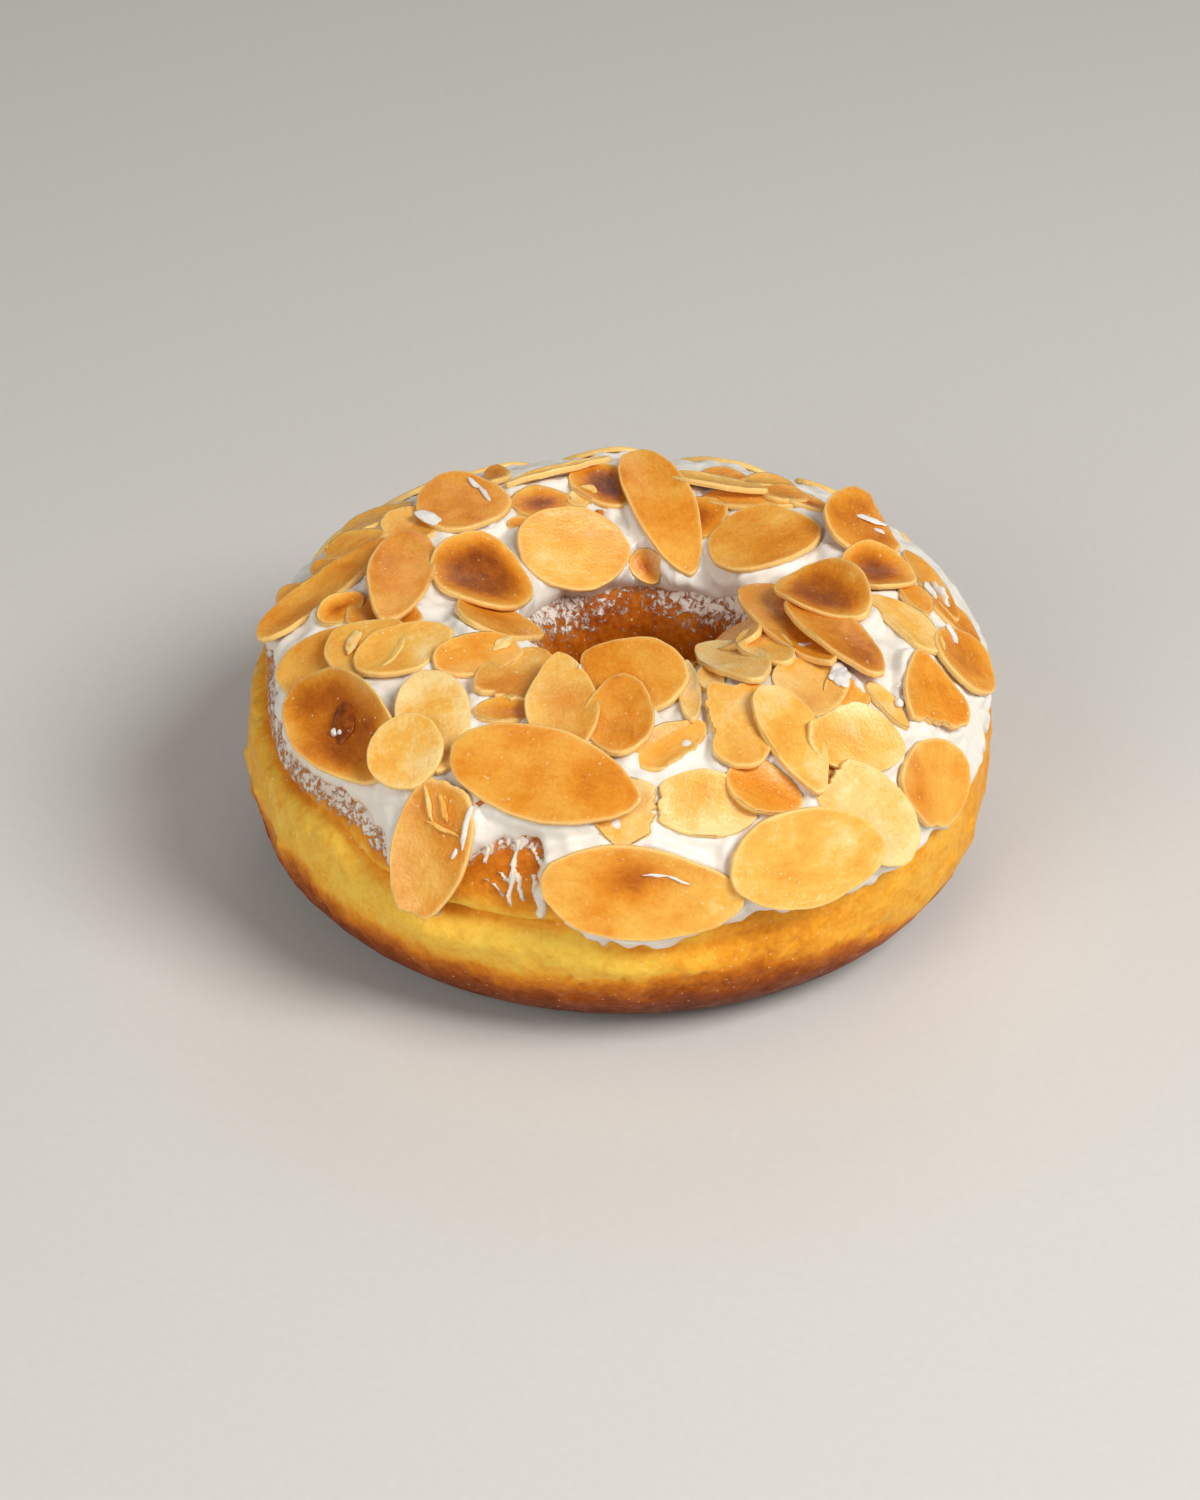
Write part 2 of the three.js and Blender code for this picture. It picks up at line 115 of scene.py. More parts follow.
# The smear of cream on bare skin: how far in degrees it reaches and how thick it is, outside
# and on the hole's wall.
FILM_REACH = [
    [0, 3], [178, 5], [192, 9], [200, 11], [212, 11], [230, 10], [236, 5], [250, 5], [266, 4],
    [275, 2.5],
]
FILM_SHARE = [
    [0, 0.5], [180, 0.7], [200, 0.7], [230, 0.72], [240, 0.6], [254, 0.7], [262, 0.3], [290, 0.3],
]
WALL_FILM = [[20, 0.95], [60, 0.85], [100, 0.6], [150, 0.9], [200, 0.7], [270, 0.5]]

# Strands of cream over the bare patch: both ends as (around, over) and the width in mm.
STRANDS = [
    ((254, 36), (254, 12), 0.7), ((254.5, 24), (256, 15), 0.5), ((250, 20), (253, 15), 0.4),
    ((262, 38), (259, 24), 1.9), ((259, 28), (258.5, 10), 1.4), ((257, 24), (258, 14), 0.6),
    ((256.5, 33), (259, 27), 0.6), ((244.5, 26), (243, 12), 1.3), ((246, 30), (244.5, 18), 1),
    ((248, 31), (246.5, 24), 0.6), ((250, 33), (249.5, 26), 0.6), ((252, 23), (254, 20), 0.45),
]

# Almond slices from tail to tip, as (around, over) places in degrees, with the width in mm.
# toast runs from 0, pale, to 1, dark. lift raises tail and tip off the cream, lean turns the
# slice up at its right, cup raises its long edges, bow raises its middle, point narrows its
# tip. A break is cut off square to a direction in the slice, 0 its tip and 90 its right side,
# at a share of its half length or width, with teeth that deep and that many. A spot is a darker
# patch: its place along and across the slice, and how much darker it is.
SLICES = [
    # Left and far left.
    dict(tail=(184.5, 39), tip=(164, 84), wide=7, lean=-10, toast=0.41),
    dict(tail=(158.5, 89), tip=(199, 82.5), wide=8, lean=13, lift=(1.3, 1), toast=0.47),
    dict(tail=(175.5, 96), tip=(167, 132.5), wide=13.75, lean=-6, cup=1.2, lift=(0.9, 0.9), bow=0.6,
         toast=0.9),
    dict(tail=(156.5, 77), tip=(143, 87), wide=8, lean=-6, toast=0.34),
    dict(tail=(144.5, 78), tip=(130.5, 100), wide=12.75, lean=-7, lift=(0.8, 0.8), toast=0.43),
    dict(tail=(152.5, 55.5), tip=(141, 72), wide=7.25, lean=-2, toast=0.25),
    dict(tail=(162.5, 58.5), tip=(155, 76), wide=7.25, lean=-3, toast=0.34),
    dict(tail=(173.5, 44.5), tip=(170.5, 54.5), wide=5.25, lean=-7, toast=0.27),
    dict(tail=(167.5, 56), tip=(164.5, 65), wide=4.5, lean=-1, toast=0.38),
    dict(tail=(188.5, 63.5), tip=(185, 80), wide=4.5, lean=-24, toast=0.93),
    dict(tail=(188, 74), tip=(200, 92), wide=8, toast=0.6),
    dict(tail=(206, 61), tip=(202, 87), wide=10.5, lift=(0.5, 0.8), toast=0.26),
    dict(tail=(210, 66.5), tip=(212.5, 96), wide=8.5, lean=-6, lift=(0.8, 1.2), toast=0.29),
    dict(tail=(204, 46), tip=(194, 72), wide=11, toast=0.27),
    dict(tail=(203, 49), tip=(231.5, 45.5), wide=11.5, lean=2, cup=1.8, lift=(0.4, 0.4), point=0.1,
         toast=0.72),
    dict(tail=(228.5, 63.5), tip=(236.5, 41), wide=9, lean=8, cup=0.3, lift=(1.8, 1.8), point=0.05,
         toast=0.14),
    dict(tail=(221, 81.5), tip=(239.5, 50.5), wide=8.75, lean=12, toast=0.09),
    dict(tail=(196.5, 102.5), tip=(210, 131.5), wide=12, lean=4, toast=0.4),
    dict(tail=(221, 83.5), tip=(225.5, 113), wide=6.5, lean=-21, toast=0.33,
         breaks=[(0, 0.86, 0.07, 3)]),
    dict(tail=(240, 81), tip=(230, 117), wide=9, toast=0.36, breaks=[(180, 0.8, 0.09, 4)]),
    dict(tail=(237, 76.5), tip=(250.5, 86.5), wide=4.75, toast=0.68, breaks=[(0, 0.8, 0.1, 3)]),
    # Front.
    dict(tail=(242, 52), tip=(241.5, 2.5), wide=9.75, lean=1, lift=(0.3, 0.3), point=0.1,
         toast=0.38, breaks=[(180, 0.92, 0.05, 4), (0, 0.94, 0.04, 6)]),
    dict(tail=(240, 58), tip=(272.5, 49.5), wide=11.5, lean=-3, cup=0.5, lift=(1.2, 1.2),
         toast=0.41),
    dict(tail=(270.5, 60.5), tip=(269.5, 36.5), wide=9, lean=-1, toast=0.1,
         breaks=[(270, 0.75, 0.12, 5)]),
    dict(tail=(259, 64), tip=(245, 106.5), wide=8.75, lean=-1, lift=(0.6, 1.5), point=0.5,
         toast=0.29),
    dict(tail=(268, 67), tip=(266.5, 98.5), wide=8.25, lean=5, lift=(0.2, 1.8), toast=0.51),
    dict(tail=(283, 91), tip=(253, 109), wide=10.5, lean=30, lift=(0, 0.6), toast=0.43),
    dict(tail=(282.5, 79.5), tip=(286.5, 111.5), wide=2.75, lean=-1, lift=(0.5, 1), toast=0.06),
    dict(tail=(290, 91.5), tip=(295, 114), wide=3.25, lean=-2, toast=0.14),
    dict(tail=(272, 64.5), tip=(285.5, 80), wide=5.5, lean=-4, cup=1, toast=0.32,
         breaks=[(90, 0.8, 0.1, 5)]),
    dict(tail=(258.5, 23), tip=(286.5, 16), wide=11, lift=(0.3, 0.3), point=0.15, toast=0.33,
         spot=(-0.1, -0.35, 0.35)),
    dict(tail=(274, 52), tip=(291, 44), wide=7.75, lean=2, point=0.1, toast=0.14,
         breaks=[(180, 0.85, 0.08, 3)]),
    dict(tail=(286.5, 58), tip=(298, 42), wide=7, lean=13, toast=0.54),
    dict(tail=(303, 54), tip=(304, 44), wide=5, toast=0.15),
    # Right front and right.
    dict(tail=(295.5, 95), tip=(289.5, 57), wide=8.75, lean=-1, cup=0.3, lift=(0.6, 0.6), point=0,
         toast=0.29, breaks=[(90, 0.75, 0.1, 4), (180, 0.82, 0.07, 3)]),
    dict(tail=(300, 87), tip=(300, 41), wide=7.25, lean=6, lift=(1, 1), toast=0.23),
    dict(tail=(302.5, 64.5), tip=(318.5, 45.5), wide=8.75, lean=-8, lift=(1.2, 0.8), point=0.1,
         toast=0.17, breaks=[(230, 0.85, 0.06, 3)]),
    dict(tail=(319, 93), tip=(308, 70), wide=9, toast=0.23),
    dict(tail=(313, 74), tip=(323, 72), wide=6, toast=0.33, breaks=[(0, 0.7, 0.12, 4)]),
    dict(tail=(301.5, 53.5), tip=(314, 10.5), wide=9.25, lean=-7, lift=(0.6, 0.3), point=0.1,
         toast=0.02, breaks=[(180, 0.85, 0.16, 3)]),
    dict(tail=(284, 27), tip=(309, 20.5), wide=11.3, cup=0.3, lift=(1.2, 1.2), point=0.1,
         toast=0.22),
    dict(tail=(326, 42), tip=(320.5, 13), wide=12.25, lean=-1, point=0.35, toast=0.36,
         breaks=[(0, 0.92, 0.06, 5)]),
    dict(tail=(325.5, 36.5), tip=(338.5, 66.5), wide=9, lean=4, cup=0.8, lift=(0.8, 0.8), point=0.6,
         toast=0.47, breaks=[(180, 0.55, 0.08, 4)]),
    dict(tail=(323, 72.5), tip=(323, 50), wide=2.75, toast=0.2),
    dict(tail=(348.5, 62.5), tip=(345.5, 33), wide=10.25, lean=-1, lift=(0.3, 1), toast=0.57),
    dict(tail=(351, 89), tip=(343, 57.5), wide=7, lift=(0.3, 0.3), toast=0.15,
         breaks=[(110, 0.5, 0.04, 2)]),
    dict(tail=(14.5, 130), tip=(319, 83), wide=8.5, lean=13, cup=1, lift=(0.3, 0.3), toast=0.48),
    dict(tail=(342, 112.5), tip=(323.5, 67.5), wide=7.5, lean=10, cup=0.8, lift=(1, 0.8),
         toast=0.57),
    dict(tail=(4, 115), tip=(341, 86), wide=9.5, lean=-6, cup=1.8, lift=(1.3, 1.3), point=0.15,
         toast=0.83),
    dict(tail=(4, 97.5), tip=(4.5, 70.5), wide=9.5, lean=-5, cup=1.4, lift=(0.6, 0.6), toast=0.89),
    dict(tail=(17, 68.5), tip=(357, 53.5), wide=4, lean=-5, toast=0.45),
    dict(tail=(1, 65), tip=(355.5, 41.5), wide=5.5, lean=-1, toast=0.56),
    dict(tail=(2, 76), tip=(354, 66), wide=4, toast=0.42),
    dict(tail=(333, 142), tip=(314, 109), wide=7.5, lean=-4, lift=(1.2, 1.2), toast=0.3),
    dict(tail=(321, 121), tip=(312, 92), wide=6, lean=2, lift=(1.2, 0.4), toast=0.21),
    dict(tail=(310.5, 135), tip=(300, 85), wide=7.5, lean=3, lift=(0.5, 0.5), toast=0.06),
    dict(tail=(303, 150), tip=(296, 124), wide=5.5, toast=0.55),
    dict(tail=(283, 128), tip=(296, 122), wide=4, toast=0.7),
    # Far side.
    dict(tail=(55.5, 124.5), tip=(24.5, 94.5), wide=12.25, lean=2, lift=(0.6, 0.6), toast=0.38),
    dict(tail=(11, 85), tip=(34.5, 74.5), wide=10.25, lean=-6, lift=(0.4, 3.4), toast=0.6,
         breaks=[(75, 0.6, 0.04, 3)]),
    dict(tail=(81, 93), tip=(51.5, 90.5), wide=5.25, lean=18, lift=(0.8, 0.8), toast=0.24),
    dict(tail=(72.5, 85.5), tip=(60.5, 82.5), wide=4, toast=0.41),
    dict(tail=(61.5, 82.5), tip=(51, 73.5), wide=4.75, toast=0.31),
    dict(tail=(54.5, 87.5), tip=(43.5, 82.5), wide=5.25, lean=7, toast=0.42),
    dict(tail=(68, 100), tip=(43.5, 87.5), wide=4.5, toast=0.32),
    dict(tail=(51.5, 84.5), tip=(37.5, 80), wide=4.5, lean=8, toast=0.75),
    dict(tail=(70, 102), tip=(59, 120), wide=7, toast=0.76),
    dict(tail=(89, 82), tip=(57.5, 139), wide=8, lean=6, cup=0.8, lift=(1.6, 0.8), bow=1.2,
         point=0.05, toast=0.46),
    dict(tail=(145, 115), tip=(96, 133), wide=11.25, lean=-5, cup=0.3, lift=(0.8, 0.8), point=0.1,
         toast=0.28),
    dict(tail=(124, 89), tip=(93.5, 80), wide=3, lean=14, lift=(0.8, 0.8), toast=0.14),
    dict(tail=(122.5, 73), tip=(117.5, 78.5), wide=6, toast=0.62),
    dict(tail=(101, 84), tip=(94, 110), wide=8, toast=0.83),
    dict(tail=(109, 98), tip=(103, 107), wide=5, toast=0.16, breaks=[(0, 0.6, 0.2, 3)]),
    dict(tail=(128, 97), tip=(110, 103), wide=7, toast=0.89),
    dict(tail=(135.5, 104), tip=(128, 110.5), wide=2.5, lean=1, toast=0.48),
    dict(tail=(91.5, 129.5), tip=(80, 143), wide=4, lean=1, toast=1),
]

# Small pieces between two places, with width and height in mm. On a slice the places are shares
# of its half length and half width; off the slices they are angles on the ring.
CREAM_DABS = [
    dict(on=14, start=(-0.02, 0.2), end=(0, 0.19), wide=0.9, high=0.8),
    dict(on=14, start=(0.05, 0.12), end=(0.07, 0.11), wide=0.9, high=0.9),
    dict(on=4, start=(0.1, -0.72), end=(0.32, -0.44), wide=0.8, high=0.4),
    dict(on=4, start=(0.32, -0.44), end=(0.56, 0), wide=0.6, high=0.4),
    dict(on=4, start=(-0.85, 0.5), end=(-0.55, 0.7), wide=1.8, high=0.6),
    dict(on=59, start=(0.15, 0), end=(-0.05, 0.45), wide=1.2, high=0.5),
    dict(on=59, start=(-0.2, 0.3), end=(-0.3, 0.4), wide=0.7, high=0.4),
    dict(on=44, start=(-0.9, -0.3), end=(-0.55, -0.2), wide=1.0, high=0.6),
    dict(on=50, start=(0.1, 0.7), end=(0.45, 0.8), wide=0.9, high=0.6),
    dict(on=37, start=(-0.55, -0.75), end=(-0.05, -0.8), wide=2.2, high=0.8),
    dict(on=38, start=(0.1, -0.8), end=(0.5, -0.9), wide=1.6, high=0.9),
    dict(on=30, start=(0.02, -0.41), end=(0.25, -0.42), wide=0.35, high=0.25),
    dict(on=30, start=(0.25, -0.42), end=(0.45, -0.31), wide=0.3, high=0.25),
    dict(on=21, start=(-0.7, -0.75), end=(-0.2, -0.8), wide=0.7, high=0.5),
    dict(on=21, start=(-0.1, -0.62), end=(0, -0.6), wide=0.5, high=0.4),
    dict(on=43, start=(0.15, -0.85), end=(0.25, -0.8), wide=0.9, high=0.9),
    dict(start=(328, 63), end=(328.5, 63.5), wide=1.2, high=2.4),
    dict(start=(326, 59), end=(326.5, 59), wide=1.0, high=2.6),
    dict(start=(139, 101), end=(141, 101), wide=1.4, high=2.6),
    dict(start=(6, 62), end=(0, 56), wide=1.0, high=2.6),
    dict(on=24, start=(0.62, 0.5), end=(0.66, 0.52), wide=0.4, high=0.3),
]
ALMOND_CRUMBS = [
    dict(on=21, start=(-0.75, 0.5), end=(-0.4, 0.15), wide=0.6, high=0.5, toast=0.15),
    dict(on=21, start=(-0.72, 0.1), end=(-0.45, -0.2), wide=0.8, high=0.5, toast=0.3),
    dict(on=21, start=(-0.35, 0.2), end=(-0.3, -0.5), wide=0.5, high=0.4, toast=0.2),
    dict(on=18, start=(0.35, -0.05), end=(0.7, -0.25), wide=1.3, high=0.6, toast=0.08),
    dict(on=11, start=(-0.4, -0.1), end=(0.1, -0.5), wide=1.4, high=0.6, toast=0.12),
    dict(on=14, start=(-0.1, -0.25), end=(0.06, 0.02), wide=3.0, high=0.9, toast=0.95),
    dict(start=(247, 45), end=(249, 47), wide=1.2, high=2.8, toast=0.6),
    dict(start=(249, 44), end=(249.6, 44.5), wide=0.8, high=2.6, toast=0.7),
    dict(start=(104, 113), end=(106, 114), wide=1.2, high=2.8, toast=0.6),
    dict(start=(242, 26), end=(242.8, 25), wide=0.8, high=1.8, toast=0.5),
]

# Slices on the far slope, in staggered rows with a seeded turn, length and width each. The half
# lengths are in degrees, for a slice that lies around the ring and one that lies over it.
HIDDEN_ROWS = [
    dict(over=21, start=40, end=140, apart=20),
    dict(over=39, start=50, end=130, apart=20),
]
HIDDEN_SEED = 20219
HALF_AROUND = 10
HALF_OVER = 14


# Shared helpers.

def power(value):
    """A cosine or sine as the section's squared-off oval takes it."""
    return np.sign(value) * np.abs(value) ** (2 / SQUARENESS)


def smoothstep(value, low, high):
    share = np.clip((value - low) / (high - low), 0, 1)
    return share * share * (3 - 2 * share)


def lerp(low, high, share):
    return low + (high - low) * share


def round_the_ring(knots, around):
    """Values between the knots of a closed curve round the ring, eased at each knot."""
    knots = np.array(sorted(knots), float)
    knots = np.vstack([knots[-1] - [360, 0], knots, knots[0] + [360, 0]])
    around = np.asarray(around, float) % 360
    after = np.searchsorted(knots[:, 0], around, side="right")
    left, right = knots[after - 1], knots[after]
    return lerp(left[..., 1], right[..., 1], smoothstep(around, left[..., 0], right[..., 0]))


def noise_at(points, size, seed):
    """Smooth noise from -1 to 1 with features about as large as size, for points in mm. Each
    seed is a pattern of its own."""
    shift = Vector((seed * 7.31, seed * 3.17, seed * 5.53))
    flat = np.asarray(points, float).reshape(-1, 3) / size
    values = [noise.noise(Vector(p) + shift) for p in flat]
    return np.array(values).reshape(np.shape(points)[:-1])


def unit(vector):
    return vector / np.linalg.norm(vector, axis=-1, keepdims=True)


class Ring:
    """The dough's skin, in millimetres, by two angles in degrees: around the ring, 0 at the
    right and 270 at the front, and over its section, 0 outwards, 90 on the crown, 180 at the
    wall of the hole."""

    def __init__(self, sizes):
        self.outer = sizes.ring_diameter / 2 / MM
        self.hole = sizes.hole_diameter / 2 / MM
        self.offset = np.array(sizes.hole_offset) / MM
        self.half_height = (sizes.ring_height / MM + PRESSED_FLAT) / 2

    def section(self, around):
        out = np.stack([np.cos(np.radians(around)), np.sin(np.radians(around))], -1)
        inner = out * self.hole + self.offset
        outer = out * self.outer
        return (inner + outer) / 2, (outer - inner) / 2

    def skin(self, around, over):
        around, over = np.broadcast_arrays(np.asarray(around, float), np.asarray(over, float))
        middle, half = self.section(around)
        flat = middle + half * power(np.cos(np.radians(over)))[..., None]
        z = self.half_height * (1 + power(np.sin(np.radians(over)))) - PRESSED_FLAT
        return np.concatenate([flat, z[..., None]], -1)

    def normal(self, around, over, step=0.2):
        along = self.skin(around + step, over) - self.skin(around - step, over)
        up = self.skin(around, over + step) - self.skin(around, over - step)
        return unit(np.cross(along, up))

    def above(self, around, over, height):
        around, over = np.asarray(around, float), np.asarray(over, float)
        return self.skin(around, over) + self.normal(around, over) * np.asarray(height)[..., None]

    def place(self, points):
        """The two angles of points in space, and their height off the skin."""
        points = np.asarray(points, float)
        share = np.full(points.shape[:-1], 0.5)
        for _ in range(8):
            x = points[..., 0] - self.offset[0] * (1 - share)
            y = points[..., 1] - self.offset[1] * (1 - share)
            share = (np.hypot(x, y) - self.hole) / (self.outer - self.hole)
        around = np.degrees(np.arctan2(y, x))
        half_width = np.linalg.norm(self.section(around)[1], axis=-1)
        across = 2 * share - 1
        up = (points[..., 2] + PRESSED_FLAT) / self.half_height - 1
        level = (np.abs(across) ** SQUARENESS + np.abs(up) ** SQUARENESS) ** (1 / SQUARENESS)
        level = np.maximum(level, 1e-6)
        height = np.hypot(across * half_width, up * self.half_height) * (1 - 1 / level)
        cos_over = np.sign(across) * np.abs(across / level) ** (SQUARENESS / 2)
        sin_over = np.sign(up) * np.abs(up / level) ** (SQUARENESS / 2)
        return around, np.degrees(np.arctan2(sin_over, cos_over)), height


def dough_swell(ring, around, over):
    """The ring's lumps and dimples in mm, less where it is coated."""
    lumps = LUMP_HEIGHT * np.sin(np.radians(3 * around + 40)) * np.sin(np.radians(2 * over + 15))
    dimples = DIMPLE_HEIGHT * np.sin(np.radians(7 * around)) * np.cos(np.radians(3 * over))
    coated = smoothstep(ring.skin(around, over)[..., 2], 17, 24)
    return (lumps + dimples) * lerp(1, 0.25, coated)


def deselect_all():
    if bpy.context.object and bpy.context.object.mode != "OBJECT":
        bpy.ops.object.mode_set(mode="OBJECT")
    bpy.ops.object.select_all(action="DESELECT")


def coordinates(mesh):
    flat = np.empty(len(mesh.vertices) * 3)
    mesh.vertices.foreach_get("co", flat)
    return flat.reshape(-1, 3)


def put_corners(mesh, points, values):
    """Moves a mesh's corners to points in mm, and keeps a number or a vector at each, by name,
    for the materials."""
    mesh.vertices.foreach_set("co", (points * MM).ravel())
    for name, value in values.items():
        kind, field = ("FLOAT", "value") if value.ndim == 1 else ("FLOAT_VECTOR", "vector")
        mesh.attributes.new(name, kind, "POINT").data.foreach_set(field, value.ravel())


def reshape_torus(name, steps, rows, cuts, place):
    """Adds a torus, cuts its faces finer, and moves each corner to where place puts its two
    step numbers."""
    deselect_all()
    bpy.ops.mesh.primitive_torus_add(
        major_segments=steps // (cuts + 1), minor_segments=rows // (cuts + 1),
        major_radius=2, minor_radius=1, generate_uvs=False,
    )
    bpy.ops.object.mode_set(mode="EDIT")
    bpy.ops.mesh.select_all(action="SELECT")
    bpy.ops.mesh.subdivide(number_cuts=cuts)
    bpy.ops.object.mode_set(mode="OBJECT")
    piece = bpy.context.object
    piece.name = piece.data.name = name
    corners = coordinates(piece.data)
    step = np.round(np.arctan2(corners[:, 1], corners[:, 0]) / math.tau * steps + steps) % steps
    turn = np.arctan2(corners[:, 2], np.hypot(corners[:, 0], corners[:, 1]) - 2)
    row = np.round(turn / math.tau * rows + rows) % rows
    put_corners(piece.data, *place(step, row.astype(int)))
    piece.data.update()
    bpy.ops.object.shade_smooth()
    return piece


def shape_copies(name, blank, shapes):
    """Copies the blank for each shape, moves the copy's corners to the shape's, with its
    values, and joins the copies into one piece."""
    made = []
    for points, values in shapes:
        copy = blank.copy()
        copy.data = blank.data.copy()
        bpy.context.scene.collection.objects.link(copy)
        put_corners(copy.data, points, values)
        made.append(copy)
    bpy.data.objects.remove(blank)
    deselect_all()
    for copy in made:
        copy.select_set(True)
    bpy.context.view_layer.objects.active = made[0]
    bpy.ops.object.join()
    piece = bpy.context.object
    piece.name = piece.data.name = name
    bpy.ops.object.shade_smooth()
    return piece


def linear(hex_colour):
    """An sRGB hex colour as the linear RGBA that the shaders take."""
    parts = [int(hex_colour[i:i + 2], 16) / 255 for i in (1, 3, 5)]
    return tuple(p / 12.92 if p <= 0.04045 else ((p + 0.055) / 1.055) ** 2.4 for p in parts) + (1,)


def length_property(name, description, default):
    return FloatProperty(name=name, description=description, default=default, unit="LENGTH")


def colour_property(name, description, default):
    return FloatVectorProperty(
        name=name, description=description, default=linear(default), size=4, subtype="COLOR",
        min=0, max=1,
    )


def set_node(tree, node, settings, links):
    """settings are the node's own properties, its ramp's stops or, by input name or number, the
    values on its sockets. links are input name or number to the node or socket that feeds it."""
    for key, value in settings.items():
        if key == "stops":
            ramp = node.color_ramp.elements
            while len(ramp) < len(value):
                ramp.new(1)
            for element, (place, colour) in zip(ramp, value):
                element.position = place
                element.color = colour
        elif isinstance(key, str) and hasattr(node, key):
            setattr(node, key, value)
        else:
            node.inputs[key].default_value = value
    for key, source in links.items():
        feed = source.outputs[0] if isinstance(source, bpy.types.Node) else source
        tree.links.new(feed, node.inputs[key])


def add_node(tree, kind, settings=None, links=None):
    """Adds a shader node with its settings and links, as set_node takes them."""
    node = tree.nodes.new("ShaderNode" + kind)
    set_node(tree, node, settings or {}, links or {})
    return node


def corner_value(tree, name, output="Fac"):
    """What put_corners kept at the corners under a name."""
    return add_node(tree, "Attribute", {"attribute_name": name}).outputs[output]


def noise_texture(tree, place, scale, detail, roughness=0.5, distortion=0):
    return add_node(
        tree, "TexNoise",
        {"Scale": scale, "Detail": detail, "Roughness": roughness, "Distortion": distortion},
        {"Vector": place},
    )


def spread(tree, value, low, high, first=0, last=1):
    """A value between low and high, spread from first to last and held there past them."""
    return add_node(
        tree, "MapRange", {"From Min": low, "From Max": high, "To Min": first, "To Max": last},
        {"Value": value},
    )


def tinted(tree, colour, share, tint):
    """A colour that turns to a tint, a hex colour, by a share from 0 to 1."""
    mix = add_node(tree, "Mix", {"data_type": "RGBA", 7: linear(tint)}, {0: share, 6: colour})
    return mix.outputs[2]


def multiply_add(tree, value, factor, plus):
    return add_node(tree, "Math", {"operation": "MULTIPLY_ADD", 1: factor}, {0: value, 2: plus})


def vary(tree, value, patterns):
    """A value made uneven by patterns that run from 0 to 1, each with its strength."""
    for pattern, strength in patterns:
        shift = add_node(
            tree, "Math", {"operation": "MULTIPLY_ADD", 1: strength, 2: -strength / 2}, {0: pattern}
        )
        value = add_node(tree, "Math", {"operation": "ADD"}, {0: value, 1: shift})
    return value


def new_material(name, tint):
    material = bpy.data.materials.new(name)
    material.use_nodes = True
    material.diffuse_color = linear(tint)
    return material, material.node_tree, material.node_tree.nodes["Principled BSDF"]


def finish_piece(piece, material, node):
    piece.data.materials.append(material)
    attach(piece, "root")
    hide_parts(node)


# The dough ring: its steps round the ring and rows over its section, how far in degrees the
# steps are pulled together to the front, and how close the rows lie at places over the section.
DOUGH_STEPS = 576
DOUGH_ROWS = 171
DOUGH_CUTS = 2
FRONT_PULL = 14
ROWS_OVER = [-80, -72, 32, 40, 118, 128, 236, 246, 280]
ROWS_CLOSE = [0.3, 1, 1, 0.25, 0.25, 0.8, 0.8, 0.2, 0.3]


def fine_to_the_front(step, steps):
    """The angle round the ring of a step, the steps lying closer together at the front."""
    even = 360 * step / steps
    return even - FRONT_PULL * np.sin(np.radians(even - 270))


def dough_rows():
    """Places over the section, close together where the skin shows."""
    over = np.arange(-80, 280, 0.25)
    close = np.interp(over, ROWS_OVER, ROWS_CLOSE)
    share = np.cumsum(close) / np.sum(close)
    return np.interp((np.arange(DOUGH_ROWS) + 0.5) / DOUGH_ROWS, share, over)


def dough_surface(ring, around, over):
    """How far the real skin stands off the plain section, in mm: lumps, fold, wrinkles, pores."""
    skin = ring.skin(around, over)
    outward = np.cos(np.radians(over)) > 0
    # The fold is a wide dip with a sharp crease in it and a soft roll below.
    below_fold = round_the_ring(CREASE_OVER, around) - over
    wander = 1.6 * noise_at(skin, 6, 11)
    fold = CREASE_DEPTH * np.exp(-((below_fold / CREASE_WIDTH) ** 2))
    fold = fold + 1.5 * np.exp(-(((below_fold + wander) / 2) ** 2))
    fold = fold - 0.5 * np.exp(-(((below_fold + wander - 7) / 4) ** 2))
    fold = fold * round_the_ring(CREASE_SHARE, around) * outward
    # The band below it is blistered and pored, and the skin is smooth where it rests.
    band = smoothstep(below_fold, -2, 4) * (1 - smoothstep(below_fold, 24, 48)) * outward
    wrinkles = 0.28 * noise_at(skin, 6, 1) + 0.18 * noise_at(skin, 2.6, 2)
    wrinkles = wrinkles + 0.12 * noise_at(skin, 1.1, 3)
    blisters = 0.5 * smoothstep(noise_at(skin, 3.4, 5), 0.35, 0.75) * band
    pores = 0.35 * smoothstep(noise_at(skin, 1.5, 4), 0.3, 0.65) * band
    uneven = dough_swell(ring, around, over) - fold + wrinkles + blisters - pores
    return uneven * smoothstep(skin[..., 2], 1.7, 10.4)


def dough_bake_and_shade(ring, around, over):
    """How brown the skin is, from 0 on the pale band to 1 under the ring: browning from the frying,
    with painted shade added towards the base and along the fold's crease.
    """
    skin = ring.skin(around, over)
    wobble = 4 * noise_at(skin, 8, 21) + 3 * noise_at(skin, 2.6, 22)
    above = over - round_the_ring(BAND_TOP, around) + 0.4 * wobble
    below = round_the_ring(BAND_LOW, around) - over + wobble
    top = np.interp(above, [-2, 1.5, 6, 16, 30], [0, 0.22, 0.42, 0.52, 0.58])
    # Below the pale band the skin browns towards the base: partly the frying, partly painted shade
    # where the base faces down.
    base_browning_and_shade = np.interp(
        below, [-14, -5, 0, 5, 12, 20, 30, 45], [0, 0.12, 0.42, 0.62, 0.78, 0.88, 0.96, 1]
    )
    band = round_the_ring(BAND_TONE, around) + 0.05 * noise_at(skin, 5, 24)
    # A narrow line of painted shade darkens the skin along the fold's crease, outside the hole.
    crease_shade = round_the_ring(CREASE_SHARE, around) * (over < 90)
    from_fold = round_the_ring(CREASE_OVER, around) - over + 1.6 * noise_at(skin, 6, 11)
    outside = np.maximum(np.maximum(top, base_browning_and_shade), band)
    outside = outside + 0.32 * crease_shade * np.exp(-((from_fold / 1.6) ** 2))
    inside = 0.64 + 0.2 * noise_at(skin, 5, 23)
    in_hole = smoothstep(over, 95, 130) * (1 - smoothstep(over, 235, 262))
    return np.clip(lerp(outside, inside, in_hole), 0, 1)


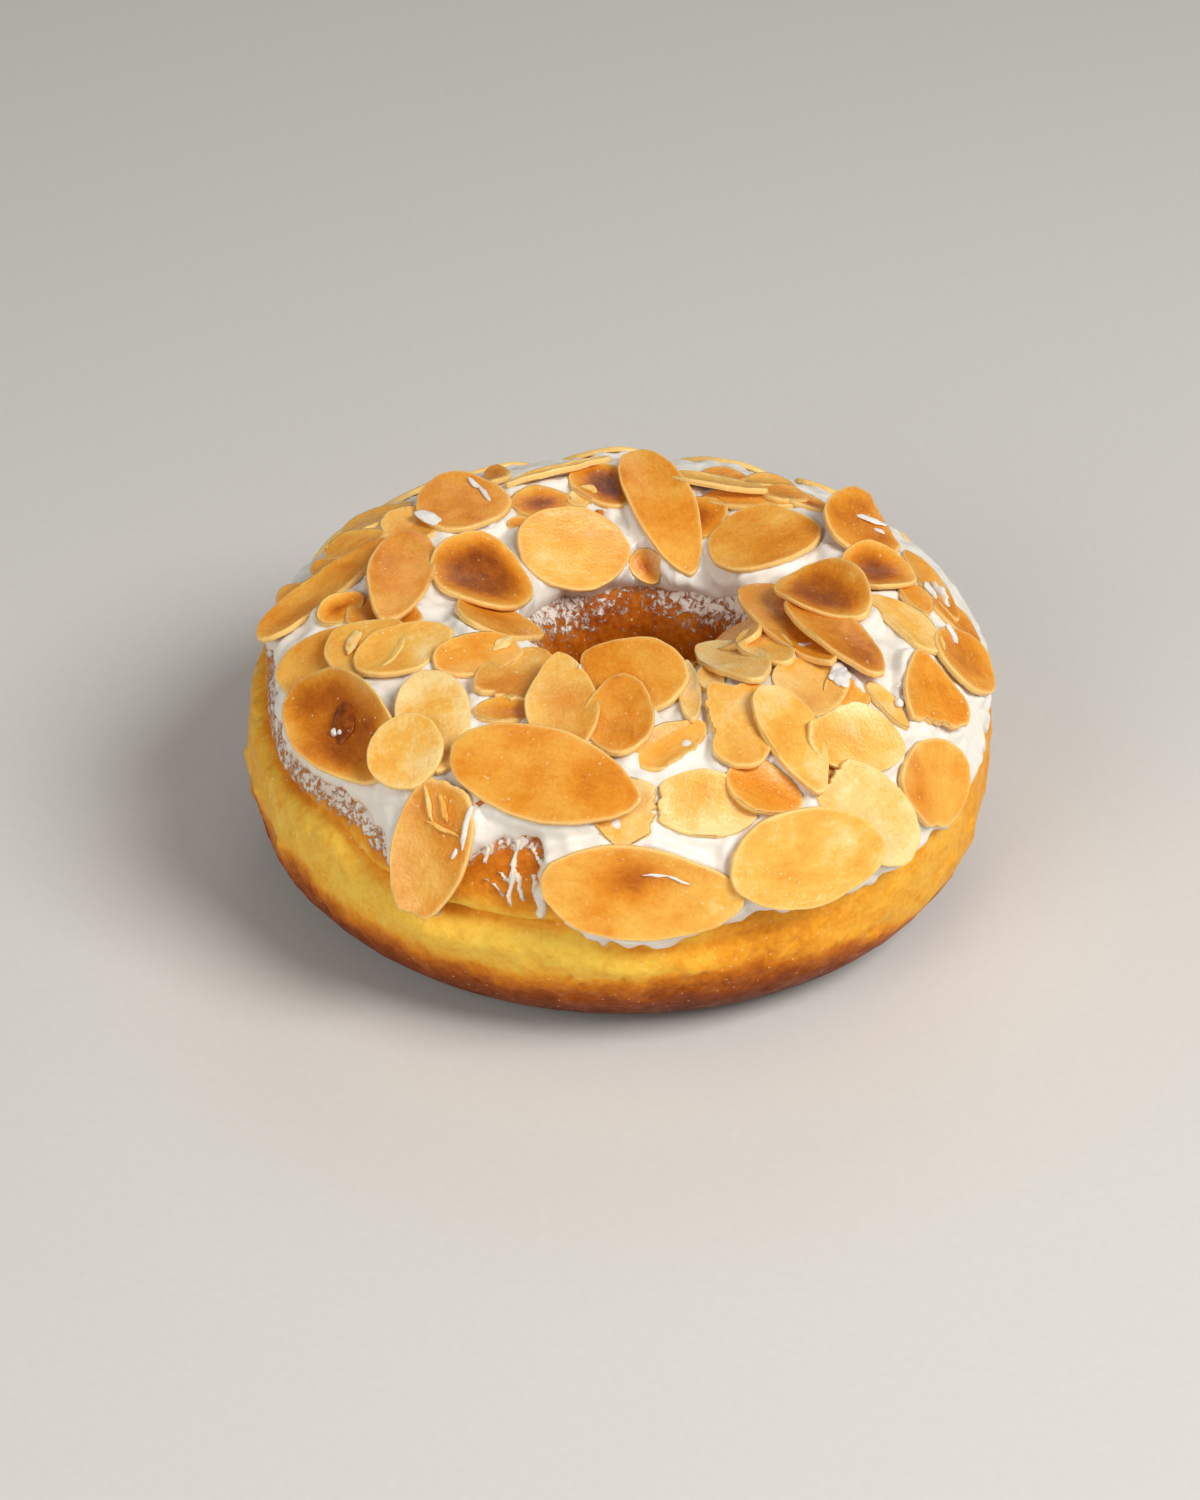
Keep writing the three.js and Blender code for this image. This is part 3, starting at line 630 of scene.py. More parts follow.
def strands(around, over):
    """Strands of cream dragged down over the bare patch, from 0 to 1."""
    degree = np.array([AROUND_MM, OVER_MM])
    flat = np.stack([around * AROUND_MM, over * OVER_MM, np.zeros_like(over)], -1)
    flat[..., 0] += 0.5 * noise_at(flat, 1.3, 61) + 0.2 * noise_at(flat, 0.6, 62)
    flat[..., 1] += 0.5 * noise_at(flat, 1.1, 63)
    shown = np.zeros(np.shape(around))
    for start, end, wide in STRANDS:
        along = (np.array(end) - start) * degree
        from_start = flat[..., :2] - np.array(start) * degree
        share = np.clip(from_start @ along / (along @ along), 0, 1)
        away = np.linalg.norm(from_start - share[..., None] * along, axis=-1)
        shown = np.maximum(shown, np.exp(-((away / (wide / 2)) ** 2)))
    return shown


def cream_film(around, over):
    """How thickly cream is smeared on bare skin beside its edges, from 0 to 1."""
    past_low = np.maximum(round_the_ring(CREAM_LOW, around) - over, 0)
    past_high = np.maximum(over - round_the_ring(CREAM_INSIDE, around), 0)
    reach = round_the_ring(FILM_REACH, around)
    film = round_the_ring(FILM_SHARE, around) * np.exp(-((past_low / reach) ** 4))
    wall = 0.85 * round_the_ring(WALL_FILM, around) * np.exp(-((past_high / 22) ** 2))
    return np.where(over < 90, film + 0.6 * strands(around, over), wall)


class FriedDough(bpy.types.PropertyGroup):
    ring_diameter: length_property("Ring Diameter", "Across the dough", 90 * MM)
    ring_height: length_property("Ring Height", "From the floor to the dough's crown", 34.5 * MM)
    hole_diameter: length_property("Hole Diameter", "Where the hole is narrowest", 19 * MM)
    hole_offset: FloatVectorProperty(
        name="Hole Offset", description="From the ring's middle to the hole's", size=2,
        default=(3 * MM, 3 * MM), unit="LENGTH",
    )
    pale: colour_property("Pale Band", "Dough that stayed above the oil", "#fbcd50")
    golden: colour_property("Golden Skin", "Dough fried a short time", "#ee9f2a")
    # The brown end also serves as the painted shade under the ring.
    brown: colour_property("Brown Skin", "Dough fried longest", "#582203")


def fried_dough_material(looks):
    """Yeast dough fried in oil: a thin crust, pale where it floated clear of the oil and brown
    below, the brown deepened by painted shade at the base and in the fold's crease, finely
    mottled and slightly oily, with light flecks that are partly painted glints, and cream
    smeared thinly beside the coat."""
    material, tree, shader = new_material("fried_yeast_dough", "#d8943a")
    place = add_node(tree, "TexCoord").outputs["Object"]
    bake = corner_value(tree, "bake")
    film = corner_value(tree, "film")
    # Mottling of about 2.5 mm and a grain of about 0.7 mm, the size of the crust's fine blisters.
    mottle = noise_texture(tree, place, scale=400, detail=5, roughness=0.6)
    grain = noise_texture(tree, place, scale=1500, detail=3)
    crust = add_node(
        tree, "ValToRGB",
        {"stops": [
            (0.0, tuple(looks.pale)), (0.26, tuple(looks.golden)), (0.5, linear("#cf7414")),
            (0.75, linear("#964404")), (1.0, tuple(looks.brown)),
        ]},
        {"Fac": vary(tree, bake, [(mottle, 0.4), (grain, 0.3)])},
    )
    # Fine light flecks, 1.3 mm apart: dried sugar and cream on the crust, and partly painted glints
    # of its oil.
    flecks_and_glints = add_node(tree, "TexVoronoi", {"Scale": 760}, {"Vector": place})
    flecked_and_glinting = tinted(tree, crust, spread(tree, flecks_and_glints, 0.06, 0.13, 0.5, 0), "#fbe3b4")
    # The smeared cream breaks up into a lace of about 0.8 mm, with finer holes in it.
    lace = noise_texture(tree, place, scale=1200, detail=5, roughness=0.65, distortion=0.6)
    shown = spread(tree, multiply_add(tree, film, 0.55, lace), 0.78, 0.9, 0, 0.92)
    colour = tinted(tree, flecked_and_glinting, shown, "#f1e6da")
    oily = spread(tree, mottle, 0.3, 0.7, 0.36, 0.6)
    relief = multiply_add(tree, grain, 0.3, mottle)
    raised = add_node(tree, "Math", {"operation": "ADD"}, {0: relief, 1: shown})
    bump = add_node(tree, "Bump", {"Strength": 0.75, "Distance": 0.4 * MM}, {"Height": raised})
    set_node(tree, shader, {
        "IOR": 1.45, "Specular IOR Level": 0.12, "Subsurface Weight": 0.12,
        "Subsurface Radius": (1.0, 0.45, 0.15), "Subsurface Scale": 1.5 * MM,
    }, {"Base Color": colour, "Roughness": oily, "Normal": bump})
    return material


class DOUGHNUT_OT_dough(bpy.types.Operator):
    """Add the fried dough ring"""

    bl_idname = "doughnut.add_dough"
    bl_label = "Dough Ring"

    def execute(self, context):
        looks = context.scene.doughnut_dough
        ring = Ring(looks)
        rows = dough_rows()

        def place(step, row):
            around, over = fine_to_the_front(step, DOUGH_STEPS), rows[row]
            points = ring.above(around, over, dough_surface(ring, around, over))
            points[:, 2] = np.maximum(points[:, 2], 0)
            bake = dough_bake_and_shade(ring, around, over)
            return points, {"bake": bake, "film": cream_film(around, over)}

        dough = reshape_torus("fried_dough_ring", DOUGH_STEPS, DOUGH_ROWS, DOUGH_CUTS, place)
        finish_piece(dough, fried_dough_material(looks), "dough_ring")
        return {"FINISHED"}


# The almond slices.
class ToastedAlmond(bpy.types.PropertyGroup):
    thickness: length_property("Slice Thickness", "How thick the almonds are sliced", 0.75 * MM)
    pale: colour_property("Pale", "Barely toasted almond", "#fddc9a")
    toasted: colour_property("Toasted", "Evenly toasted almond", "#e48f24")
    dark: colour_property("Dark", "Almond toasted longest", "#7c3608")


def seeded_random(seed):
    state = seed
    while True:
        state = state * 16807 % 2147483647
        yield state / 2147483647


def hidden_slices():
    draws = seeded_random(HIDDEN_SEED)

    def between(low, high):
        return low + (high - low) * next(draws)

    slices = []
    for row in HIDDEN_ROWS:
        for around in range(row["start"], row["end"] + 1, row["apart"]):
            turn = between(-1, 1)
            half = between(0.8, 1.15)
            middle = (around + between(-3, 3), row["over"] + between(-4, 4))
            along = HALF_AROUND * half * math.sqrt(1 - turn * turn)
            up = HALF_OVER * half * turn
            slices.append(dict(
                tail=(middle[0] - along, middle[1] - up), tip=(middle[0] + along, middle[1] + up),
                wide=between(8.5, 11.5), lean=between(-3, 3), cup=between(-0.6, 0),
                lift=(between(0, 0.3), between(0, 0.3)), bow=0.8,
            ))
    for number, almond in enumerate(slices):
        almond["toast"] = 0.2 + 0.5 * ((number * 0.618) % 1)
    return slices


def turned(vector, axis, angle):
    """A vector turned about a unit axis, in degrees."""
    cos, sin = math.cos(math.radians(angle)), math.sin(math.radians(angle))
    return vector * cos + np.cross(axis, vector) * sin + axis * (axis @ vector) * (1 - cos)


def waves_of(flat):
    """The slice faces' own unevenness in mm."""
    return 0.35 * noise_at(flat, 7, 31) + 0.1 * noise_at(flat, 2.4, 32)


# Waves in a slice's outline, as how many go round it and their height as a share of its radius,
# how far in mm its rim is rounded, and the seed of the first slice.
OUTLINE_WAVES = [(2, 0.016), (3, 0.02), (5, 0.011), (9, 0.006), (17, 0.004)]
RIM_ROUNDED = 0.12
FIRST_SEED = 100


class Slice:
    """One almond slice: where it lies, its outline, and the shape of its faces, in mm. Places
    on it are shares of its half length, u, and of its half width, v, and w is off its face."""

    def __init__(self, ring, almond, number, thickness):
        self.ring, self.number, self.thickness = ring, number, thickness
        self.toast = almond["toast"]
        self.cup, self.bow = almond.get("cup", 0.4), almond.get("bow", 0)
        self.point, self.wide = almond.get("point", 0.3), almond["wide"]
        self.lift = almond.get("lift", (0, 0))
        self.breaks = almond.get("breaks", [])
        self.spot = almond.get("spot")
        tail, tip = almond["tail"], almond["tip"]
        start = ring.above(*tail, SLICE_MIDDLE)
        end = ring.above(*tip, SLICE_MIDDLE)
        self.length = np.linalg.norm(end - start)
        self.along = (end - start) / self.length
        turn = (tip[0] - tail[0] + 540) % 360 - 180
        self.middle_over = (tail[1] + tip[1]) / 2
        self.outward = ring.normal(tail[0] + turn / 2, self.middle_over)
        face = unit(self.outward - self.along * (self.outward @ self.along))
        self.face = turned(face, self.along, -almond.get("lean", 0))
        self.side = np.cross(self.along, self.face)
        self.centre = (start + end) / 2
        self.rng = np.random.RandomState(FIRST_SEED + number)
        self.ripple = self.rng.uniform(0, 360, 6)
        # The slice moves along its face until the lowest place under it is sunk far enough.
        self.sunk = 0.0
        u, v = self.outline(np.radians(np.arange(0, 360, 10)))
        u, v = np.concatenate([u, u * 0.5, [0]]), np.concatenate([v, v * 0.5, [0]])
        under = self.raised(u, v, self.rise(u, v) - PACKED_SLICE, lifted=0)
        self.sunk = PACKED_CREAM - SLICE_SUNK - ring.place(under)[2].min()

    def outline(self, angle):
        """The slice's edge in its own measures: an oval, narrower at its tip, wavy and broken."""
        u, v = np.cos(angle), np.sin(angle)
        v = v * (1 - self.point * ((u + np.sqrt(u * u + 0.08)) / 2 - 0.07))
        turn = np.degrees(angle)
        waves = sum(
            size * np.sin(np.radians(count * turn + ripple))
            for (count, size), ripple in zip(OUTLINE_WAVES, self.ripple)
        )
        u, v = u * (1 + waves), v * (1 + waves)
        for towards, reach, depth, teeth in self.breaks:
            nx, ny = math.cos(math.radians(towards)), math.sin(math.radians(towards))
            across = v * nx - u * ny
            line = np.stack([across * teeth, 0 * across + self.number, 0 * across + towards], -1)
            jag = noise_at(line, 1, 71) + 0.45 * noise_at(line, 0.37, 72)
            edge = reach - depth * (0.4 - jag)
            far = u * nx + v * ny
            share = np.where(far > edge, edge / np.maximum(far, 1e-6), 1)
            u, v = u * share, v * share
        return u, v

    def rise(self, u, v):
        """How far the slice's curl raises a place on it, in mm."""
        return self.cup * v * v + self.bow * (1 - u * u)

    def lift_at(self, u):
        return self.lift[0] * (1 - u) / 2 + self.lift[1] * (1 + u) / 2

    def raised(self, u, v, w, lifted=1):
        """Points from the slice's own measures: shares of its half length and width, and mm."""
        point = self.centre + np.multiply.outer(u * self.length / 2, self.along)
        point = point + np.multiply.outer(v * self.wide / 2, self.side)
        point = point + np.multiply.outer(w + self.sunk, self.face)
        return point + np.multiply.outer(lifted * self.lift_at(u), self.outward)

    def flat(self, u, v):
        """Places on the slice in mm, each slice at a level of its own, for noise."""
        level = np.full_like(u, 9.7 * self.number)
        return np.stack([u * self.length / 2, v * self.wide / 2, level], -1)

    def measured(self, points):
        """The opposite of raised: where points in space lie in the slice's own measures."""
        away = points - self.centre
        u = away @ self.along / (self.length / 2)
        v = away @ self.side / (self.wide / 2)
        lift = self.lift_at(np.clip(u, -1, 1))
        return u, v, away @ self.face - self.sunk - lift * (self.outward @ self.face)

    def edge_share(self, u, v):
        """How far out a place is, 0 in the middle and 1 on the outline."""
        angle = np.arctan2(v, u)
        edge_u, edge_v = self.outline(angle)
        return np.hypot(u, v) / np.maximum(np.hypot(edge_u, edge_v), 1e-6)

    def corners(self, blank):
        """The blank disc drawn out to this slice, with what its material reads."""
        x, y, level = blank[:, 0], -blank[:, 1], blank[:, 2]
        share, angle = np.hypot(x, y), np.arctan2(y, x)
        edge_u, edge_v = self.outline(angle)
        radius = np.hypot(edge_u * self.length / 2, edge_v * self.wide / 2)
        # The cut rim is rounded: its outer loops are drawn in and its middle loops spread.
        middle = np.abs(level) < 0.4
        share = np.where(np.isclose(share, 1, atol=1e-3) & ~middle, 1 - RIM_ROUNDED / radius, share)
        level = np.where(middle, level * 2.1, level)
        u, v = edge_u * share, edge_v * share
        inward = (1 - share) * radius
        # The faces are a little wavy, with a faint lip half a millimetre in from the rim.
        flat = self.flat(u, v)
        top = self.rise(u, v) + waves_of(flat) + 0.06 * np.exp(-((inward - 0.5) / 0.35) ** 2)
        w = top - self.thickness * (0.5 - level) - 0.4 * (PACKED_SLICE - self.thickness)
        # Toasting is uneven, strongest at a hot place of the slice's own, and paler at its rim.
        hot = self.rng.uniform(-0.35, 0.35, 2)
        spot = np.exp(-(((u - hot[0]) / 0.6) ** 2) - ((v - hot[1]) / 0.6) ** 2)
        edge_toast = min(self.toast, 0.06 + 0.85 * self.toast - 1.2 * max(self.toast - 0.5, 0))
        toast = lerp(edge_toast, self.toast, smoothstep(inward, 0, 2 + 2 * self.toast))
        toast = toast + 0.07 * (spot - 0.35) + 0.2 * noise_at(flat, 6, 33)
        toast = toast + 0.05 * noise_at(flat, 1.6, 34)
        if self.spot:
            near = np.exp(-(((u - self.spot[0]) / 0.3) ** 2) - ((v - self.spot[1]) / 0.4) ** 2)
            toast = toast + self.spot[2] * near
        # The rim value marks the cut rim, which the material tints paler and lights with a painted
        # highlight.
        return self.raised(u, v, w), {
            "toast": np.clip(toast, 0, 1),
            "rim": np.where(middle, 1, np.exp(-((inward / 0.28) ** 2))),
            "grain": flat,
        }


def all_slices(ring, thickness):
    almonds = SLICES + hidden_slices()
    return [Slice(ring, almond, number, thickness) for number, almond in enumerate(almonds)]


def toasted_almond_material(looks):
    """Blanched almonds, sliced and oven toasted: waxy and slightly see-through, darkest in the
    middle, with a paler cut rim lightened further by a painted highlight, faint lengthwise grain
    and fine light specks."""
    material, tree, shader = new_material("toasted_sliced_almond", "#e0a552")
    toast = corner_value(tree, "toast")
    rim = corner_value(tree, "rim")
    grain = corner_value(tree, "grain", "Vector")
    # The grain vector is in mm, so a scale of 1 is one feature a millimetre.
    long_way = add_node(tree, "Mapping", {"Scale": (0.35, 1.1, 1)}, {"Vector": grain})
    streaks = noise_texture(tree, long_way, scale=1.2, detail=4, roughness=0.6)
    blotches = noise_texture(tree, grain, scale=0.35, detail=8, roughness=0.65)
    pits = noise_texture(tree, grain, scale=2.6, detail=3)
    tone = add_node(
        tree, "ValToRGB",
        {"stops": [
            (0.0, tuple(looks.pale)), (0.22, linear("#f5b852")), (0.48, tuple(looks.toasted)),
            (0.72, linear("#bd660f")), (1.0, tuple(looks.dark)),
        ]},
        {"Fac": vary(tree, toast, [(streaks, 0.16), (blotches, 0.45), (pits, 0.22)])},
    )
    # The rim is tinted paler: partly the cut rim's own tone, partly a painted highlight where the
    # edges catch the light.
    edge = add_node(tree, "Math", {"operation": "MULTIPLY", 1: 0.8}, {0: rim})
    rim_pale_and_lit = tinted(tree, tone, edge, "#fbd183")
    # A few light specks of about 0.3 mm, in loose groups.
    specks = add_node(tree, "TexVoronoi", {"Scale": 1.0}, {"Vector": grain})
    speck = spread(tree, specks, 0.06, 0.16, 0.8, 0)
    groups = spread(tree, blotches, 0.48, 0.58)
    grouped = add_node(tree, "Math", {"operation": "MULTIPLY"}, {0: speck, 1: groups})
    colour = tinted(tree, rim_pale_and_lit, grouped, "#fde6b8")
    waxy = spread(tree, blotches, 0.3, 0.7, 0.2, 0.36)
    relief = add_node(tree, "Math", {"operation": "ADD"}, {0: streaks, 1: pits})
    bump = add_node(tree, "Bump", {"Strength": 0.4, "Distance": 0.2 * MM}, {"Height": relief})
    set_node(tree, shader, {
        "IOR": 1.47, "Specular IOR Level": 0.3, "Coat Weight": 0.12, "Coat Roughness": 0.16,
        "Subsurface Weight": 0.18, "Subsurface Radius": (1.0, 0.5, 0.15),
        "Subsurface Scale": 1.2 * MM,
    }, {"Base Color": colour, "Roughness": waxy, "Normal": bump})
    return material


# The rings of faces on a slice, from its rim inwards, as shares of its half width, and the
# spokes round a whole and a broken one. From this angle over the ring a slice is on the crown.
BLANK_RINGS = [0.03, 0.045, 0.07, 0.1, 0.13, 0.16, 0.17, 0.16]
WHOLE_SPOKES = 72
BROKEN_SPOKES = 120
CROWN_OVER = 66


def slice_blank(spokes):
    """A disc of radius 1 and height 1 with rings of faces on both sides and round its rim."""
    deselect_all()
    bpy.ops.mesh.primitive_cylinder_add(vertices=spokes, radius=1, depth=1, end_fill_type="NGON")
    blank = bpy.context.object
    mesh = blank.data
    for group in (mesh.vertices, mesh.edges, mesh.polygons):
        group.foreach_set("select", np.zeros(len(group), bool))
    for edge in mesh.edges:
        first, second = (mesh.vertices[i].co for i in edge.vertices)
        edge.select = abs(first.z - second.z) > 0.5
    bpy.context.tool_settings.mesh_select_mode = (False, True, False)
    bpy.ops.object.mode_set(mode="EDIT")
    bpy.ops.mesh.subdivide(number_cuts=2)
    bpy.ops.mesh.select_all(action="DESELECT")
    bpy.ops.object.mode_set(mode="OBJECT")
    for face in mesh.polygons:
        face.select = abs(face.normal.z) > 0.9
    bpy.context.tool_settings.mesh_select_mode = (False, False, True)
    bpy.ops.object.mode_set(mode="EDIT")
    for thickness in BLANK_RINGS:
        bpy.ops.mesh.inset(thickness=thickness)
    bpy.ops.mesh.poke()
    bpy.ops.object.mode_set(mode="OBJECT")
    return blank


class DOUGHNUT_OT_almonds(bpy.types.Operator):
    """Add the toasted almond slices, whole and broken"""

    bl_idname = "doughnut.add_almonds"
    bl_label = "Almond Slices"

    def execute(self, context):
        looks = context.scene.doughnut_almonds
        slices = all_slices(Ring(context.scene.doughnut_dough), looks.thickness / MM)
        material = toasted_almond_material(looks)
        whole = [almond for almond in slices if not almond.breaks]
        crown = [almond for almond in whole if almond.middle_over >= CROWN_OVER]
        sides = [almond for almond in whole if almond.middle_over < CROWN_OVER]
        broken = [almond for almond in slices if almond.breaks]
        for name, kind, spokes in (
            ("almond_slices_on_the_crown", crown, WHOLE_SPOKES),
            ("almond_slices_on_the_sides", sides, WHOLE_SPOKES),
            ("broken_almond_slices", broken, BROKEN_SPOKES),
        ):
            blank = slice_blank(spokes)
            disc = coordinates(blank.data)
            piece = shape_copies(name, blank, [almond.corners(disc) for almond in kind])
            finish_piece(piece, material, "cream_and_almonds")
        return {"FINISHED"}


# The cream coat: its steps round the ring and rows over it, and the places over the section
# where the sheet begins and ends.
CREAM_STEPS = 640
CREAM_TOP_ROWS = 144
CREAM_UNDER_ROWS = 8
CREAM_CUTS = 3
CREAM_FROM = -8
CREAM_TO = 156
# Where no cream shows, the sheet runs this far under the skin in mm, its underside a bit lower.
CREAM_HIDDEN = -2.4
CREAM_UNDERSIDE = CREAM_HIDDEN - 0.3
# Higher in mm than the cream ever is.
NO_LIMIT = 9.0


class WhiteCream(bpy.types.PropertyGroup):
    thickness: length_property(
        "Cream Thickness", "Off the dough's skin, where the coat is full", 1.15 * MM
    )
    colour: colour_property("Cream Colour", "The cream where it is thick", "#f1ebe0")


def cream_height(ring, slices, around, over, thickness):
    """The coat's height over the dough in mm, below 0 where there is none."""
    skin = ring.skin(around, over)
    # Both edges wander, and the outer one is dragged down in drops.
    down = np.stack([np.radians(around) * 30, over / 30, np.zeros_like(over)], -1)
    ragged = round_the_ring(EDGE_RAGGED, around)
    low = round_the_ring(CREAM_LOW, around)
    low = low + ragged * (1.6 * noise_at(skin, 4.5, 41) + 1.1 * noise_at(skin, 1.6, 42))
    low = low + round_the_ring(EDGE_DRAGGED, around) * noise_at(down, 1.1, 48)
    high = round_the_ring(CREAM_INSIDE, around)
    high = high + 3 * noise_at(skin, 5, 43) + 1.2 * noise_at(skin, 1.8, 44)
    # The coat thickens from its edges inwards, with soft folds, and a lip in the hole.
    from_low, from_high = OVER_MM * (over - low), HOLE_MM * (high - over)
    inside = OVER_MM * np.minimum(over - low, 0.9 * (high - over))
    thin = round_the_ring(EDGE_THIN, around)
    full = 1 - np.exp(-np.maximum(from_low, 0) / thin)
    full = full * (1 - np.exp(-np.maximum(from_high, 0) / 0.7))
    folds = 0.7 * (0.4 - np.abs(noise_at(skin, 4.2, 45))) + 0.3 * noise_at(skin, 1.9, 46)
    folds = folds + 0.12 * noise_at(skin, 0.9, 47)
    lip = round_the_ring(CREAM_LIP, around) * smoothstep(over, high - 34, high - 12)
    climb, limit = cream_climb(ring, slices, around, over, thickness)
    height = full * (thickness - 0.1 + folds + lip) + climb * np.minimum(full * 1.5, 1)
    # Past its edges it dives under the skin, but for the strands.
    strand = np.interp(strands(around, over), [0, 0.2, 0.33, 1], [CREAM_HIDDEN, -0.5, 0, 0.45])
    past = np.maximum(np.maximum(inside * 1.4, CREAM_HIDDEN), strand)
    return np.minimum(np.where(inside > 0, height, past), limit)


def cream_climb(ring, slices, around, over, thickness):
    """How far the cream rises to meet the slices over it, and where their undersides stop it."""
    points = ring.above(around, over, np.full(np.shape(around), thickness))
    climb = np.zeros(np.shape(around))
    limit = np.full(np.shape(around), NO_LIMIT)
    willing = 0.75 + 0.5 * noise_at(points, 5, 51)
    for almond in slices:
        near = np.linalg.norm(points - almond.centre, axis=-1) < almond.length / 2 + 3
        u, v, w = almond.measured(points[near])
        share = almond.edge_share(u, v)
        # How far outside the slice's outline a place is, and how far below its underside.
        beyond = np.maximum(share - 1, 0) * np.minimum(almond.length, almond.wide) / 2
        inner = np.minimum(1, 1 / np.maximum(share, 1e-6))
        gap = almond.rise(u * inner, v * inner) - almond.thickness - w
        facing = max(float(almond.face @ almond.outward), 0.5)
        reach = np.clip(gap / facing - 0.1, 0, 1.5) * np.exp(-((beyond / 0.5) ** 2))
        reach = np.where(gap > 3.2, 0, reach)
        climb[near] = np.maximum(climb[near], reach * np.clip(willing[near], 0, 1))
        stop = np.where(beyond < 0.15, thickness + gap / facing + 0.3, NO_LIMIT)
        limit[near] = np.minimum(limit[near], np.where(stop > 0.3, stop, NO_LIMIT))
    return climb, limit


def white_cream_material(looks):
    """Whipped white icing: soft, light-scattering and matt, thin enough at its edges for the
    fried skin to tint it, with small bubbles and swirls."""
    material, tree, shader = new_material("whipped_white_cream", "#f4ece2")
    place = add_node(tree, "TexCoord").outputs["Object"]
    thick = corner_value(tree, "thick")
    # Bubbles of about 0.8 mm and swirls of about 3 mm.
    bubbles = noise_texture(tree, place, scale=1300, detail=4)
    swirls = noise_texture(tree, place, scale=320, detail=3)
    body = add_node(
        tree, "ValToRGB",
        {"stops": [
            (0.0, linear("#d39a5e")), (0.1, linear("#e6c9a4")), (0.3, linear("#f2e6d8")),
            (0.7, tuple(looks.colour)),
        ]},
        {"Fac": vary(tree, thick, [(bubbles, 0.5)])},
    )
    relief = multiply_add(tree, bubbles, 0.35, swirls)
    bump = add_node(tree, "Bump", {"Strength": 0.3, "Distance": 0.3 * MM}, {"Height": relief})
    set_node(tree, shader, {
        "Roughness": 0.42, "IOR": 1.4, "Subsurface Weight": 0.35,
        "Subsurface Radius": (1.0, 0.8, 0.6), "Subsurface Scale": 1.2 * MM,
    }, {"Base Color": body, "Normal": bump})
    return material


class DOUGHNUT_OT_cream(bpy.types.Operator):
    """Add the white cream coat, with its broken lower edge and its lip inside the hole"""

    bl_idname = "doughnut.add_cream"
    bl_label = "Cream Coat"

    def execute(self, context):
        looks = context.scene.doughnut_cream
        ring = Ring(context.scene.doughnut_dough)
        slices = all_slices(ring, context.scene.doughnut_almonds.thickness / MM)
        thickness = looks.thickness / MM
        rows = np.concatenate([
            np.linspace(CREAM_FROM, CREAM_TO, CREAM_TOP_ROWS),
            np.linspace(CREAM_TO, CREAM_FROM, CREAM_UNDER_ROWS),
        ])

        def place(step, row):
            around, over = fine_to_the_front(step, CREAM_STEPS), rows[row]
            top = row < CREAM_TOP_ROWS
            height = np.full(np.shape(around), CREAM_UNDERSIDE)
            height[top] = cream_height(ring, slices, around[top], over[top], thickness)
            points = ring.above(around, over, dough_surface(ring, around, over) + height)
            return points, {"thick": np.clip(height, 0, 1.5)}

        cream = reshape_torus("white_cream_coat", CREAM_STEPS, len(rows), CREAM_CUTS, place)
        finish_piece(cream, white_cream_material(looks), "cream_and_almonds")
        return {"FINISHED"}


# The small pieces that lie on the slices and the coat.
SMALL_SEED = 81


def small_piece(ring, slices, crumb, ball, seed):
    """A ball drawn out between two places and roughened, in mm, with what its material reads."""
    wide, high = crumb["wide"], crumb["high"]
    if "on" in crumb:
        almond = slices[crumb["on"]]
        u, v = np.array([crumb["start"], crumb["end"]]).T
        start, end = almond.raised(u, v, almond.rise(u, v) + waves_of(almond.flat(u, v)))
        up, floor = almond.face, 0.1 * high
    else:
        start, end = (ring.above(*place, 0.0) for place in (crumb["start"], crumb["end"]))
        up, floor = ring.normal(*crumb["start"]), 0.5 * high
    way = end - start
    long = np.linalg.norm(way) / 2 + wide / 2
    along = unit(way - up * (way @ up))
    across = np.cross(up, along)
    drawn = ball * [long, 1, 1]
    rough = 1 + 0.35 * noise_at(drawn, 1.1, seed) + 0.08 * noise_at(drawn, 0.5, seed)
    shape = ball * rough[:, None] * [long, wide / 2, high / 2]
    bend = 0.25 * noise_at(shape * [1, 0, 0], 1.6, seed + 7)
    points = (start + end) / 2 + up * floor + shape @ np.stack([along, across, up])
    grain = shape + [0, 0, 31.7 * seed]
    return points + np.multiply.outer(bend, across), {
        "thick": np.full(len(ball), 1.2), "rim": np.zeros(len(ball)), "grain": grain,
        "toast": crumb.get("toast", 0.5) + 0.1 * noise_at(grain, 0.7, seed),
    }


class DOUGHNUT_OT_crumbs(bpy.types.Operator):
    """Add the dabs of cream and the crumbs of almond"""

    bl_idname = "doughnut.add_crumbs"
    bl_label = "Dabs and Crumbs"

    def execute(self, context):
        ring = Ring(context.scene.doughnut_dough)
        slices = all_slices(ring, context.scene.doughnut_almonds.thickness / MM)
        for name, crumbs, material, slot in (
            ("cream_dabs", CREAM_DABS, "whipped_white_cream", "white_cream"),
            ("almond_crumbs", ALMOND_CRUMBS, "toasted_sliced_almond", "toasted_almond"),
        ):
            deselect_all()
            bpy.ops.mesh.primitive_ico_sphere_add(subdivisions=4, radius=1)
            ball = bpy.context.object
            corners = coordinates(ball.data)
            shapes = [
                small_piece(ring, slices, crumb, corners, SMALL_SEED + number)
                for number, crumb in enumerate(crumbs)
            ]
            piece = shape_copies(name, ball, shapes)
            finish_piece(piece, bpy.data.materials[material], "cream_and_almonds")
        return {"FINISHED"}


# The stage: where the lights point, in metres, and the camera as fitted to the ring's outline,
# its place in mm and how far it looks down in degrees.
LIGHT_AIM = (0, 0, 0.02)
CAMERA_PLACE = (-2.285, -378.806, 259.675)
CAMERA_DOWN = 33


class Studio(bpy.types.PropertyGroup):
    floor: colour_property("Floor Colour", "The plain pale floor", "#dcd9d4")
    key_power: FloatProperty(
        name="Key Light", description="Power of the large soft light", default=5.2, unit="POWER"
    )
    fill_power: FloatProperty(
        name="Fill Light", description="Power of the second light", default=2.3, unit="POWER"
    )
    lens: FloatProperty(
        name="Lens", description="The camera's focal length in mm", default=88.99, unit="CAMERA"
    )


